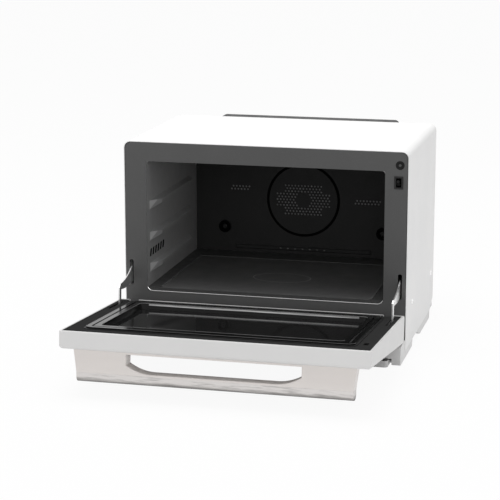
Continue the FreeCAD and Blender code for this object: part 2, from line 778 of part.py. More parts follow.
def door_switch():
    body = slab(centred(LATCH_X, LATCH_Z, SWITCH_HALF), "xz", *SWITCH_Y)
    terminals = [box(LATCH_X - TERMINAL_HALF, LATCH_X + TERMINAL_HALF, SWITCH_Y[1] - OVER, TERMINAL_END,
                     LATCH_Z + z, LATCH_Z + z + SHEET) for z in TERMINAL_Z]
    return fused([body] + terminals)


def door_bumper():
    stem, length = BUMPER_STEM
    cup, cup_floor = BUMPER_CUP
    shoulder = BUMPER_RADIUS - BUMPER_HEIGHT
    profile = [(0, -length), (stem, -length), (stem, 0), (BUMPER_RADIUS, 0), (shoulder, BUMPER_HEIGHT),
               (cup, BUMPER_HEIGHT), (stem, cup_floor), (0, cup_floor)]
    return turned(profile, V(BUMPER_X, 0, BUMPER_Z), V(0, -1, 0))


def hinge_brackets():
    """Pressed arms that stand out of the front frame and carry the hinge pins."""
    left = BRACKET_X - BRACKET_THICK / 2
    right = BRACKET_X + BRACKET_THICK / 2
    low = HINGE_Z - HINGE_EYE
    high = HINGE_Z + HINGE_EYE
    arm = box(left, right, HINGE_Y, BRACKET_BACK, low, high)
    eye = rod(V(left, HINGE_Y, HINGE_Z), V(right, HINGE_Y, HINGE_Z), HINGE_EYE)
    foot_y = FRAME_SHEET + TOUCH
    reach, thick = BRACKET_FOOT
    foot = box(BRACKET_X, right + reach, foot_y, foot_y + thick, low, high)
    pin_hole = rod(V(left - OVER, HINGE_Y, HINGE_Z), V(right + OVER, HINGE_Y, HINGE_Z),
                   HINGE_PIN_RADIUS + PRESS_GAP)
    return pair(fused([arm, eye, foot]).cut(pin_hole))


def hinge_pins():
    start, end = [V(x, HINGE_Y, HINGE_Z) for x in HINGE_PIN_X]
    return pair(rod(start, end, HINGE_PIN_RADIUS))


# Oven chamber

def chamber_arch(grow, start, end):
    half = OPENING_HALF + grow
    top = OPENING_TOP + grow
    low = CHAMBER_LOW - OVER + grow
    radius = CHAMBER_RADIUS + grow
    return slab([(-half, low), (-half, top, radius), (half, top, radius), (half, low)], "xz", start, end)


def pressed_rib(side, level, shrink, step):
    """Rib with a long ramp at its front end, from the wall to its crest."""
    wall = side * (OPENING_HALF + step + SHELF_ROOT)
    crest = side * (OPENING_HALF - SHELF_DEPTH + step)
    foot = rect(SHELF_FOOT_Y[0] + shrink, SHELF_FOOT_Y[1] - shrink, level - SHELF_FOOT_HALF + shrink,
                level + SHELF_FOOT_HALF - shrink)
    top = rect(SHELF_CREST_Y[0] + shrink, SHELF_CREST_Y[1] - shrink, level - SHELF_CREST_HALF + shrink,
               level + SHELF_CREST_HALF - shrink)
    return frustum(outline(foot, "yz", wall), outline(top, "yz", crest))


def chamber_wrap():
    wrap = chamber_arch(SHEET, FRAME_SHEET + TOUCH, CHAMBER_BACK - SHEET)
    wrap = wrap.cut(chamber_arch(0, 0, CHAMBER_BACK))
    for side in (-1, 1):
        for level in SHELF_LEVELS:
            rib = pressed_rib(side, level, 0, 0)
            hollow = pressed_rib(side, level, SHELF_HOLLOW, SHEET)
            wrap = wrap.fuse(rib).cut(hollow)
    vents = []
    low, high = WALL_VENT_Z
    for i in range(WALL_VENTS):
        y = WALL_VENT_Y + WALL_VENT_PITCH * i
        corners = [(y, low), (y + WALL_VENT_WIDTH, low), (y + WALL_VENT_WIDTH + WALL_VENT_LEAN, high),
                   (y + WALL_VENT_LEAN, high)]
        vents.append(slab(corners, "yz", -OPENING_HALF - SHEET - OVER, OVER - OPENING_HALF))
    wall_x = (OPENING_HALF - OVER, OPENING_HALF + SHEET + OVER)
    sensor_hole = rod(V(wall_x[0], SENSOR_Y, SENSOR_Z), V(wall_x[1], SENSOR_Y, SENSOR_Z),
                      SENSOR_RADIUS + 2 * TOUCH)
    lamp_slots = []
    for i in range(LAMP_SLOTS):
        y = LAMP_SLOT_Y + 2 * LAMP_SLOT_WIDTH * i
        lamp_slots.append(box(wall_x[0], wall_x[1], y, y + LAMP_SLOT_WIDTH, LAMP_SLOT_Z[0], LAMP_SLOT_Z[1]))
    return wrap.cut(vents + lamp_slots + [sensor_hole])


def hole_patch(columns, rows, x0, z0):
    """Small field of hexagonal holes."""
    spots = [(x0 + HOLE_PITCH * (c + 0.5 * (r % 2)), z0 + HOLE_PITCH * ROW_RATIO * r)
             for r in range(rows) for c in range(columns)]
    return [hexagon(x, z, HOLE_SIZE, BACK_FACE) for x, z in spots]


def channel_slots(y0, y1):
    """Steam slots in the middle of the pressed channel."""
    slots = []
    low, high = CHANNEL_SLOT_Z
    for i in range(CHANNEL_SLOTS):
        x = CHANNEL_SLOT_X + CHANNEL_SLOT_PITCH * i
        slots.append(box(x, x + CHANNEL_SLOT_WIDTH, y0, y1, low, high))
    return slots


def chamber_back():
    half = OPENING_HALF + SHEET - TOUCH
    holes = [ring(FAN_HOLE, BACK_FACE, FAN_Z)] + hole_patch(*LEFT_PATCH) + hole_patch(*RIGHT_PATCH)
    edge = outline(rect(-half, half, CHAMBER_LOW, OPENING_TOP + SHEET - 2 * TOUCH), "xz", BACK_FACE)
    wall = holed(edge, holes, SHEET)
    foot_half, crest_half = CHANNEL_HALF
    low, high = CHANNEL_Z
    foot = outline(rect(-foot_half, foot_half, low, high), "xz", BACK_FACE + 2 * TOUCH)
    crest = outline(rect(-crest_half, crest_half, low + CHANNEL_SLOPE, high - CHANNEL_SLOPE), "xz",
                    BACK_FACE - CHANNEL_RISE)
    bore, top, base = BOSS_RADII
    boss = turned([(bore, -2 * TOUCH), (base, -2 * TOUCH), (top, BOSS_RISE), (bore, BOSS_RISE)],
                  V(BOSS_X, BACK_FACE, BOSS_Z), V(0, -1, 0))
    slots = channel_slots(BACK_FACE - CHANNEL_RISE - OVER, CHAMBER_BACK + OVER)
    return fused([wall, frustum(foot, crest), boss, mirrored(boss)]).cut(slots)


def fan_cover():
    """Perforated disc in a recessed ring: a field of holes round a bare hexagonal centre."""
    y = CHAMBER_BACK - FAN_COVER_FACE
    holes = []
    for row in range(-FIELD_ROWS, FIELD_ROWS + 1):
        z = row * HOLE_PITCH * ROW_RATIO
        for column in range(-FIELD_COLUMNS, FIELD_COLUMNS + 1):
            x = HOLE_PITCH * (column + 0.5 * (row % 2))
            in_centre = max(abs(x) * ROW_RATIO + abs(z) * 0.5, abs(z)) < FIELD_CENTRE
            in_tall = abs(x) < FIELD_TALL[0] and abs(z) < FIELD_TALL[1]
            in_wide = abs(x) < FIELD_WIDE[0] and abs(z) < FIELD_WIDE[1]
            if (in_tall or in_wide) and not in_centre:
                holes.append(hexagon(x, FAN_Z + z, HOLE_SIZE, y))
    disc = holed(ring(FAN_COVER - SHEET / 2, y, FAN_Z), holes, SHEET)
    inner = FAN_COVER - SHEET
    deep = FAN_COVER_STEP + SHEET
    profile = [(inner, 0), (FAN_COVER, 0), (FAN_COVER, FAN_COVER_STEP), (FAN_COVER_RIM, FAN_COVER_STEP),
               (FAN_COVER_RIM, deep), (inner, deep)]
    return fused([turned(profile, V(0, y, FAN_Z), V(0, 1, 0)), disc])


def chamber_floor():
    """Floor pan with a ledge for the plate and a round well under it."""
    low = OPENING_BOTTOM - SEAT
    ledge = FLOOR_Z - PLATE_THICK - TOUCH
    edge = PLATE_HALF + SEAL_WIDTH + SEAT
    front = PLATE_Y[0] - SEAL_WIDTH - SEAT
    back = PLATE_Y[1] + SEAL_WIDTH + SEAT
    half = OPENING_HALF - 2 * TOUCH
    pan_y = (FRAME_SHEET + 2 * TOUCH, CHAMBER_BACK - SHEET)
    border = box(-half, half, pan_y[0], pan_y[1], low, FLOOR_Z)
    recess = box(-edge, edge, front, back, ledge, FLOOR_Z + OVER)
    under = box(SHEET - half, half - SHEET, pan_y[0] + SHEET, pan_y[1] - SHEET, low - OVER, FLOOR_Z - SHEET)
    under = under.cut(box(-edge - SHEET, edge + SHEET, front - SHEET, back + SHEET, low - 2 * OVER, FLOOR_Z))
    well_hole = rod_z(0, WELL_Y, low - OVER, FLOOR_Z, WELL_RADIUS)
    well_low = low - WELL_DEPTH
    outer = WELL_RADIUS + SHEET
    profile = [(WELL_BORE, well_low), (outer, well_low), (outer, ledge), (WELL_RADIUS, ledge),
               (WELL_RADIUS, well_low + SHEET), (WELL_BORE, well_low + SHEET)]
    well = turned(profile, V(0, WELL_Y, 0), V(0, 0, 1))
    return fused([border.cut([recess, under, well_hole]), well])


def plate_block(grow, high):
    half = PLATE_HALF + grow
    return slab(rect(-half, half, PLATE_Y[0] - grow, PLATE_Y[1] + grow, PLATE_CORNER + grow), "xy",
                FLOOR_Z - PLATE_THICK, high)


def floor_plate():
    return plate_block(0, FLOOR_Z)


def floor_seal():
    return plate_block(SEAL_WIDTH, FLOOR_Z + SEAL_CROWN).cut(plate_block(TOUCH, FLOOR_Z + OVER))


def temperature_sensor():
    flange_thick = 2.0
    body = 5.0
    profile = [(0, -SENSOR_TIP), (SENSOR_RADIUS, -SENSOR_TIP), (SENSOR_RADIUS, 2 * TOUCH),
               (SENSOR_FLANGE, 2 * TOUCH), (SENSOR_FLANGE, flange_thick), (body, flange_thick),
               (body, SENSOR_TAIL), (0, SENSOR_TAIL)]
    return turned(profile, V(OPENING_HALF + SHEET, SENSOR_Y, SENSOR_Z), V(1, 0, 0))


def oven_lamp():
    wall = OPENING_HALF + SHEET + 2 * TOUCH
    outside = box(wall, wall + LAMP_WIDTH, LAMP_Y[0], LAMP_Y[1], LAMP_Z[0], LAMP_Z[1])
    inside = box(wall - OVER, wall + LAMP_WIDTH - LAMP_WALL, LAMP_Y[0] + LAMP_WALL, LAMP_Y[1] - LAMP_WALL,
                 LAMP_Z[0] + LAMP_WALL, LAMP_Z[1] - LAMP_WALL)
    neck_length = 4.0
    profile = [(0, 0), (BULB_NECK, 0), (BULB_NECK, neck_length), (BULB_RADIUS, 2 * neck_length),
               (BULB_RADIUS, BULB_LENGTH - neck_length), (BULB_RADIUS / 2, BULB_LENGTH), (0, BULB_LENGTH)]
    base = V(wall + LAMP_WIDTH / 2, LAMP_Y[1] - LAMP_WALL + TOUCH, sum(LAMP_Z) / 2)
    return fused([outside.cut(inside), turned(profile, base, V(0, -1, 0))])


# Convection fan and heaters

def housing_pan(inset, first, last):
    half = HOUSING_HALF - inset
    return slab(centred(0, FAN_Z, (half, half), HOUSING_CORNER - inset), "xz", first, last)


def fan_housing():
    flange = slab(centred(0, FAN_Z, HOUSING_FLANGE, HOUSING_CORNER + SHEET), "xz",
                  HOUSING_FRONT, HOUSING_FRONT + SHEET)
    shell = fused([housing_pan(0, HOUSING_FRONT, HOUSING_BACK), flange])
    shell = shell.cut(housing_pan(SHEET, HOUSING_FRONT - OVER, HOUSING_BACK - SHEET))
    cut_y = (HOUSING_BACK - SHEET - OVER, HOUSING_BACK + OVER)
    shaft_hole = rod_y(0, FAN_Z, cut_y[0], cut_y[1], SHAFT_HOLE)
    leg_holes = [rod_y(x, FAN_Z - RING_RADIUS, cut_y[0], cut_y[1], RING_LEG_HOLE)
                 for x in (-RING_LEG_X, RING_LEG_X)]
    return shell.cut([shaft_hole] + leg_holes)


def fan_motor():
    front = HOUSING_BACK + TOUCH
    stack = slab(centred(0, FAN_Z, (MOTOR_HALF, MOTOR_HALF)), "xz", front, front + MOTOR_STACK)
    shoulder, dome, end = MOTOR_CAP_HEIGHTS
    profile = [(0, 0), (MOTOR_CAP, 0), (MOTOR_CAP, shoulder), (MOTOR_BOSS, dome), (MOTOR_BOSS, end), (0, end)]
    cap = turned(profile, V(0, front + MOTOR_STACK, FAN_Z), V(0, 1, 0))
    bore = rod_y(0, FAN_Z, front - OVER, front + MOTOR_BORE_END, SHAFT_RADIUS + RUNNING_GAP)
    return fused([stack, cap]).cut(bore)


def motor_shaft():
    return rod_y(0, FAN_Z, SHAFT_Y[0], SHAFT_Y[1], SHAFT_RADIUS)


def convection_fan():
    blade_front, front, disc, back = FAN_Y
    bore = SHAFT_RADIUS + PRESS_GAP
    profile = [(bore, front), (FAN_HUB, front), (FAN_HUB, disc), (FAN_RADIUS, disc),
               (FAN_RADIUS, disc + SHEET), (FAN_HUB, disc + SHEET), (FAN_HUB, back), (bore, back)]
    hub = turned(profile, V(0, 0, FAN_Z), V(0, 1, 0))
    root = FAN_HUB - BLADE_HALF
    tip = FAN_RADIUS - SHEET
    seat = disc + 2 * TOUCH
    blade = slab([(root, front), (BLADE_RISE, blade_front), (tip, blade_front), (tip, seat), (root, seat)],
                 "xy", FAN_Z - BLADE_HALF, FAN_Z + BLADE_HALF)
    blades = []
    for k in range(FAN_BLADES):
        copy = blade.copy()
        copy.rotate(V(0, 0, FAN_Z), V(0, 1, 0), 360.0 / FAN_BLADES * k)
        blades.append(copy)
    return fused([hub] + blades)


def ring_heater():
    """Sheathed ring, its section drawn with eight sides, and two legs through the housing."""
    corners = [math.radians(22.5 + 45 * k) for k in range(8)]
    section = [(RING_RADIUS + RING_TUBE * math.cos(a), RING_TUBE * math.sin(a)) for a in corners]
    loop = turned(section, V(0, RING_Y, FAN_Z), V(0, 1, 0))
    legs = [rod_y(x, FAN_Z - RING_RADIUS, RING_Y, RING_LEG_END, RING_TUBE) for x in (-RING_LEG_X, RING_LEG_X)]
    return fused([loop] + legs)


def upper_heater():
    """Flat grill heater on the chamber's roof: an insulating board with resistance ribbons."""
    low = OPENING_TOP + SHEET + 2 * TOUCH
    board = box(-GRILL_HALF, GRILL_HALF, GRILL_Y[0], GRILL_Y[1], low, low + GRILL_THICK)
    ribbons = []
    for i in range(RIBBONS):
        y = RIBBON_START + RIBBON_PITCH * i
        ribbons.append(box(-RIBBON_HALF, RIBBON_HALF, y, y + RIBBON_WIDTH, low + GRILL_THICK - TOUCH,
                           low + GRILL_THICK + RIBBON_RISE))
    return fused([board] + ribbons)


# Microwave feed under the floor

def antenna():
    top = OPENING_BOTTOM - ANTENNA_DROP
    disc = rod_z(0, WELL_Y, top, top + ANTENNA_THICK, ANTENNA_RADIUS)
    (near_x, near_half, near_round), (far_x, far_half, far_round) = ANTENNA_WINDOW
    windows = []
    for k in range(3):
        window = slab([(near_x, -near_half, near_round), (far_x, -far_half, far_round),
                       (far_x, far_half, far_round), (near_x, near_half, near_round)],
                      "xy", top - OVER, top + ANTENNA_THICK + OVER)
        window.rotate(V(0, 0, 0), V(0, 0, 1), 120 * k)
        window.translate(V(0, WELL_Y, 0))
        windows.append(window)
    stem = rod_z(0, WELL_Y, STEM_LOW, top + ANTENNA_THICK / 2, SHAFT_RADIUS)
    return fused([disc.cut(windows), stem])


def waveguide():
    top = OPENING_BOTTOM - SEAT - WELL_DEPTH - TOUCH
    magnetron_x = sum(MAGNETRON_X) / 2
    outside = box(GUIDE_X[0], GUIDE_X[1], GUIDE_Y[0], GUIDE_Y[1], GUIDE_LOW, top)
    inside = box(GUIDE_X[0] + SHEET, GUIDE_X[1] - SHEET, GUIDE_Y[0] + SHEET, GUIDE_Y[1] - SHEET,
                 GUIDE_LOW + SHEET, top - SHEET)
    mouth = rod_z(0, WELL_Y, top - SHEET - OVER, top + OVER, GUIDE_MOUTH)
    floor_cut = (GUIDE_LOW - OVER, GUIDE_LOW + SHEET + OVER)
    stem_hole = rod_z(0, WELL_Y, floor_cut[0], floor_cut[1], GUIDE_STEM_HOLE)
    dome_hole = rod_z(magnetron_x, WELL_Y, floor_cut[0], floor_cut[1], DOME_HOLE)
    return outside.cut([inside, mouth, stem_hole, dome_hole])


def antenna_motor():
    low, high = CAN_Z
    chamfer = CAN_RADIUS - CAN_CHAMFER
    can = turned([(0, low), (chamfer, low), (CAN_RADIUS, low + CAN_CHAMFER), (CAN_RADIUS, high), (0, high)],
                 V(0, WELL_Y, 0), V(0, 0, 1))
    reach, half, thick = CAN_EAR
    ears = box(-reach, reach, WELL_Y - half, WELL_Y + half, high - thick, high)
    bore = rod_z(0, WELL_Y, STEM_LOW - OVER, high + OVER, SHAFT_RADIUS + RUNNING_GAP)
    return fused([can, ears]).cut(bore)


def magnetron():
    """Yoke of bent sheet round a finned core, with the dome that feeds the waveguide."""
    (x0, x1), (y0, y1), (z0, z1) = MAGNETRON_X, MAGNETRON_Y, MAGNETRON_Z
    x = (x0 + x1) / 2
    wall = MAGNETRON_WALL
    inside = box(x0 + wall, x1 - wall, y0 - OVER, y1 + OVER, z0 + wall, z1 - wall)
    yoke = box(x0, x1, y0, y1, z0, z1).cut(inside)
    core = rod_z(x, WELL_Y, z0 + OVER, z1 - OVER, MAGNETRON_CORE)
    fins = [box(x0 + OVER, x1 - OVER, y0 + 2 * wall, y1 - 2 * wall, z, z + SHEET) for z in MAGNETRON_FINS]
    neck = DOME_RADIUS * 2 / 3
    profile = [(0, 0), (DOME_RADIUS, 0), (DOME_RADIUS, DOME_HEIGHT - DOME_RADIUS + neck), (neck, DOME_HEIGHT),
               (0, DOME_HEIGHT)]
    dome = turned(profile, V(x, WELL_Y, z1 - SEAT), V(0, 0, 1))
    return fused([yoke, core, dome] + fins)


# Boards and cooling fan on the base pan

def circuit_board(x0, x1, y0, y1, blocks):
    """Board on four pillars, with its taller parts as (x, y, width, depth, height) blocks."""
    top = BOARD_Z + BOARD_THICK
    board = box(x0, x1, y0, y1, BOARD_Z, top)
    pillar_x = (x0 + PILLAR_INSET, x1 - PILLAR_INSET)
    pillar_y = (y0 + PILLAR_INSET, y1 - PILLAR_INSET)
    pillars = [rod_z(x, y, COVER_SKIRT_Z + SHEET, BOARD_Z + OVER, PILLAR_RADIUS)
               for x in pillar_x for y in pillar_y]
    parts = [box(x, x + w, y, y + d, top - TOUCH, top + h) for x, y, w, d, h in blocks]
    return fused([board] + pillars + parts)


def inverter_board():
    x, y, width, depth, height = HEAT_SINK_FIN
    fins = [(x + HEAT_SINK_PITCH * i, y, width, depth, height) for i in range(HEAT_SINK_FINS)]
    return circuit_board(*INVERTER_SPAN, [HEAT_SINK_FOOT] + fins + INVERTER_BLOCKS)


def power_board():
    return circuit_board(*POWER_SPAN, POWER_BLOCKS)


def cooling_fan_frame():
    start, end = COOLER_Y
    frame = slab(centred(COOLER_X, COOLER_Z, (COOLER_HALF, COOLER_HALF)), "xz", start, end)
    frame = frame.cut(rod_y(COOLER_X, COOLER_Z, start - OVER, end + OVER, COOLER_BORE))
    strut_y = (COOLER_STRUT_Y[0] + OVER, COOLER_STRUT_Y[1])
    reach = COOLER_HALF - OVER
    cross = slab(centred(COOLER_X, COOLER_Z, (reach, COOLER_STRUT_HALF)), "xz", *strut_y)
    post = slab(centred(COOLER_X, COOLER_Z, (COOLER_STRUT_HALF, reach)), "xz", *strut_y)
    hub = rod_y(COOLER_X, COOLER_Z, COOLER_STRUT_Y[0], COOLER_STRUT_Y[1], COOLER_HUB)
    pin = rod_y(COOLER_X, COOLER_Z, COOLER_HUB_Y[0], COOLER_STRUT_Y[0] + OVER, COOLER_PIN)
    return fused([frame, hub, pin, cross, post])


def cooling_fan_rotor():
    start, end = COOLER_HUB_Y
    hub = rod_y(COOLER_X, COOLER_Z, start, end, COOLER_HUB)
    inner, outer = COOLER_BLADE_RADII
    thin, wide = COOLER_BLADE_HALF
    blades = []
    for k in range(COOLER_BLADES):
        blade = box(inner, outer, -thin, thin, -wide, wide)
        blade.rotate(V(0, 0, 0), V(1, 0, 0), COOLER_BLADE_TWIST)
        blade.rotate(V(0, 0, 0), V(0, 1, 0), 360.0 / COOLER_BLADES * k)
        blade.translate(V(COOLER_X, (start + end) / 2, COOLER_Z))
        blades.append(blade)
    bore = rod_y(COOLER_X, COOLER_Z, start - OVER, end + OVER, COOLER_PIN + RUNNING_GAP)
    return fused([hub] + blades).cut(bore)


# Door, drawn closed about its hinge axis: y is depth from the axis, z runs up the door

def face_depth(s):
    """Depth of the sloping outer face at a height on the door."""
    return -DOOR_NOSE + FACE_SLOPE * s


def on_face(shape):
    """Move a shape drawn on an upright face at the origin on to the sloping outer face."""
    copy = shape.copy()
    copy.rotate(V(0, 0, 0), V(1, 0, 0), -FACE_TILT)
    copy.translate(V(0, -DOOR_NOSE, 0))
    return copy


def opened(shape):
    """Swing a closed door piece open and put it on the hinge axis."""
    copy = shape.copy()
    copy.rotate(V(0, 0, 0), V(1, 0, 0), OPEN_ANGLE)
    copy.translate(V(0, HINGE_Y, HINGE_Z))
    return copy


def hinge_notches():
    gap = box(BRACKET_X - NOTCH_HALF, BRACKET_X + NOTCH_HALF, -HINGE_EYE - NOTCH_FRONT, DOOR_FACE + FACE_CUT,
              DOOR_HEEL - FACE_CUT, NOTCH_TOP)
    return [gap, mirrored(gap)]


def button_block(x, grow, start, end):
    half = (BUTTON_SIZE[0] / 2 + grow, BUTTON_SIZE[1] / 2 + grow)
    return slab(centred(x, DIAL_T, half, BUTTON_CORNER), "xz", start, end)


def face_rect(half, t, grow, corner, start, end):
    return slab(rect(-half - grow, half + grow, t[0] - grow, t[1] + grow, corner), "xz", start, end)


def door_shell():
    """Hollow wedge: thick at the hinge, thin at the handle, open towards the chamber."""
    top_in, top_out, heel_out, heel_in = DOOR_ROUND
    side_view = slab([(DOOR_FACE, DOOR_TOP, top_in), (face_depth(DOOR_TOP), DOOR_TOP, top_out),
                      (face_depth(DOOR_HEEL), DOOR_HEEL, heel_out), (DOOR_FACE, DOOR_HEEL, heel_in)],
                     "yz", -DOOR_HALF, DOOR_HALF)
    plan = on_face(slab([(-DOOR_HALF, 0, DOOR_SIDE_ROUND), (DOOR_HALF, 0, DOOR_SIDE_ROUND),
                         (DOOR_HALF, DOOR_DEEP), (-DOOR_HALF, DOOR_DEEP)],
                        "xy", -DOOR_DEEP, DOOR_TOP + DOOR_DEEP))
    top = DOOR_TOP - DOOR_WALL
    heel = DOOR_HEEL + DOOR_WALL
    lip = DOOR_FACE - MARGIN_THICK - SEAT
    inside = DOOR_FACE + FACE_CUT
    ledge_depth, ledge_s = DOOR_LEDGE
    room = slab([(inside, top), (face_depth(top) + DOOR_WALL, top, top_out - DOOR_WALL),
                 (face_depth(heel) + DOOR_WALL, heel, heel_out - DOOR_WALL), (ledge_depth, heel),
                 (lip, ledge_s), (lip, SEAT), (inside, SEAT)],
                "yz", DOOR_WALL - DOOR_HALF, DOOR_HALF - DOOR_WALL)
    panel_bed = face_rect(PANEL_HALF, PANEL_T, SEAT, PANEL_CORNER + SEAT, -OVER, PANEL_THICK)
    window_bed = face_rect(WINDOW_HALF, WINDOW_T, SEAT, WINDOW_CORNER + SEAT, -OVER, GLASS_THICK)
    window_hole = face_rect(WINDOW_HALF, WINDOW_T, -WINDOW_LAP, WINDOW_CORNER, -OVER, FACE_CUT)
    dial_hole = rod_y(DIAL_X, DIAL_T, -OVER, FACE_CUT, SHAFT_RADIUS + LENS_BED)
    beds = [panel_bed, window_bed, window_hole, dial_hole]
    beds += [button_block(x, SEAT + 2 * TOUCH, -OVER, FACE_CUT) for x in BUTTON_X]
    return side_view.common(plan).cut([room] + [on_face(bed) for bed in beds] + hinge_notches())


def ridge_rect(grow, corner, start, end):
    """Rectangle round the door's ridge, larger than the ridge by a margin."""
    half = RIDGE_HALF + grow
    return slab(rect(-half, half, RIDGE_S[0] - grow, RIDGE_S[1] + grow, corner), "xz", start, end)


def door_inner_frame():
    back = DOOR_FACE - MARGIN_THICK
    half = DOOR_HALF - DOOR_WALL - 2 * TOUCH
    cut_y = (back - OVER, DOOR_FACE + OVER)
    plate = box(-half, half, back, DOOR_FACE, MARGIN_LOW, DOOR_TOP - DOOR_WALL - SEAT)
    opening = ridge_rect(MARGIN_GAP, RIDGE_CORNER + MARGIN_GAP / 2, *cut_y)
    arm_slot = box(ARM_X - ARM_OPENING_HALF, ARM_X + ARM_OPENING_HALF, cut_y[0], cut_y[1],
                   ARM_OPENING_S[0], ARM_OPENING_S[1])
    hook_slot = slab(centred(LATCH_X, LATCH_Z - HINGE_Z, HOOK_SLOT_HALF), "xz", *cut_y)
    return plate.cut([opening, arm_slot, mirrored(arm_slot), hook_slot] + hinge_notches())


def choke_frame():
    """Raised frame round the door glass, with a groove in its crest and sloping inner walls."""
    back = DOOR_FACE - RECESS_DEPTH
    crest = DOOR_FACE + RIDGE_HEIGHT
    ridge = ridge_rect(0, RIDGE_CORNER, back, crest)
    flange = ridge_rect(RIDGE_FLANGE, RIDGE_CORNER + RIDGE_FLANGE / 4, back, DOOR_FACE - MARGIN_THICK - TOUCH)
    slope = RECESS_SLOPE / 2

    def recess_wire(grow, level):
        half = RECESS_HALF + grow
        return outline(rect(-half, half, RECESS_S[0] - grow, RECESS_S[1] + grow, RECESS_CORNER), "xz", level)

    recess = frustum(recess_wire(slope / 4, crest + OVER), recess_wire(-2 * slope + slope / 4, back - OVER))
    outer, inner, depth = GROOVE
    corner = RIDGE_CORNER + MARGIN_GAP / 2
    groove = ridge_rect(outer, corner + outer, crest - depth, crest + OVER)
    groove = groove.cut(ridge_rect(inner, corner + inner, crest - depth, crest + OVER))
    return fused([ridge, flange]).cut([recess, groove])


def door_gasket():
    outer, inner, proud = GASKET
    span = (DOOR_FACE - MARGIN_THICK + TOUCH, DOOR_FACE + proud)
    corner = RIDGE_CORNER - GASKET_TIGHTER
    return ridge_rect(outer, corner + outer, *span).cut(ridge_rect(inner, corner + inner, *span))


def door_inner_glass():
    front = DOOR_FACE - RECESS_DEPTH - TOUCH
    half = RECESS_HALF + INNER_GLASS_LAP
    return slab(rect(-half, half, RECESS_S[0] - INNER_GLASS_LAP, RECESS_S[1] + INNER_GLASS_LAP), "xz",
                front - INNER_GLASS_THICK, front)


def door_window():
    return on_face(face_rect(WINDOW_HALF, WINDOW_T, 0, WINDOW_CORNER, 0, GLASS_THICK))


def hinge_blocks():
    """Two bored cheeks each side, on the door's heel, that turn on the hinge pin."""
    front, back = CHEEK_DEPTH
    low, toe, high = CHEEK_S
    cheek = slab([(toe, low), (back, low), (back, high, CHEEK_ROUND), (front, high, CHEEK_ROUND),
                  (front, toe)], "yz", 0, CHEEK_THICK)
    cheek = cheek.cut(rod(V(-OVER, 0, 0), V(CHEEK_THICK + OVER, 0, 0), HINGE_PIN_RADIUS + RUNNING_GAP))
    cheeks = []
    for x in CHEEK_X:
        copy = cheek.copy()
        copy.translate(V(x, 0, 0))
        cheeks += [copy, mirrored(copy)]
    return Part.makeCompound(cheeks)


def stay_arm_brackets():
    """Bored cheeks behind the inner frame, one each side of a stay arm."""
    depth, s = ARM_PIN
    half_depth, half_s = ARM_CHEEK_HALF
    back = DOOR_FACE - MARGIN_THICK - 2 * TOUCH
    cheeks = []
    for offset in ARM_CHEEK_X:
        x = ARM_X + offset
        block = slab(rect(depth - half_depth, back, s - half_s, s + half_s, ARM_CHEEK_CORNER), "yz",
                     x, x + ARM_CHEEK_THICK)
        bore = rod(V(x - OVER, depth, s), V(x + ARM_CHEEK_THICK + OVER, depth, s), ARM_PIN_RADIUS + PRESS_GAP)
        block = block.cut(bore)
        cheeks += [block, mirrored(block)]
    return Part.makeCompound(cheeks)


def stay_arm_pins():
    depth, s = ARM_PIN
    return pair(rod(V(ARM_X - ARM_PIN_HALF, depth, s), V(ARM_X + ARM_PIN_HALF, depth, s), ARM_PIN_RADIUS))


# Handle

def handle_end():
    """Depth at which the handle's moulding ends and its steel nose begins."""
    return face_depth(HANDLE_S[1]) - HANDLE_REACH + HANDLE_BAND


def grip_opening(near_edge, start, height):
    """Finger opening: straight along the door, with a long round at each outer corner."""
    end = near_edge - GRIP_END
    middle = near_edge - GRIP_MIDDLE
    drop = GRIP_MIDDLE - GRIP_END
    radius = (GRIP_CORNER ** 2 + drop ** 2) / (2 * drop)
    half_turn = math.asin(GRIP_CORNER / radius) / 2
    flat = GRIP_HALF - GRIP_CORNER
    bow_x = flat + radius * math.sin(half_turn)
    bow_y = middle + radius * (1 - math.cos(half_turn))
    right = Part.Arc(V(GRIP_HALF, end, start), V(bow_x, bow_y, start), V(flat, middle, start))
    left = Part.Arc(V(-flat, middle, start), V(-bow_x, bow_y, start), V(-GRIP_HALF, end, start))
    lines = [Part.LineSegment(V(-GRIP_HALF, end, start), V(-GRIP_HALF, near_edge, start)),
             Part.LineSegment(V(-GRIP_HALF, near_edge, start), V(GRIP_HALF, near_edge, start)),
             Part.LineSegment(V(GRIP_HALF, near_edge, start), V(GRIP_HALF, end, start)),
             right,
             Part.LineSegment(V(flat, middle, start), V(-flat, middle, start)),
             left]
    return Part.Face(Part.Wire([line.toShape() for line in lines])).extrude(V(0, 0, height))


def handle():
    low, high = HANDLE_S
    end = handle_end()
    side_view = slab([(face_depth(high), high), (end, high), (end, low), (face_depth(low), low)],
                     "yz", -HANDLE_HALF, HANDLE_HALF)
    narrow = HANDLE_HALF - HANDLE_TAPER
    plan = slab([(-HANDLE_HALF, HANDLE_ROOT), (HANDLE_HALF, HANDLE_ROOT), (narrow, end), (-narrow, end)],
                "xy", low - OVER, high + OVER)
    near_edge = face_depth(low) - GRIP_GAP
    grip = grip_opening(near_edge, low - OVER, high - low + 2 * OVER)
    bar = side_view.common(plan).cut(grip)

    def on_grip_edge(c):
        return near(c.z, high) and abs(c.x) < GRIP_HALF + OVER and end + OVER < c.y < near_edge - OVER

    return softened(bar, GRIP_ROUND, on_grip_edge)


def handle_trim():
    low, high = HANDLE_S
    start = handle_end() - TOUCH / 2
    end = face_depth(high) - HANDLE_REACH
    half = HANDLE_HALF - HANDLE_TAPER
    return slab([(start, high), (end, high, HANDLE_NOSE), (end, low, HANDLE_NOSE), (start, low)],
                "yz", -half, half)


# Controls, drawn on an upright face at y = 0 and then put on the door's outer face

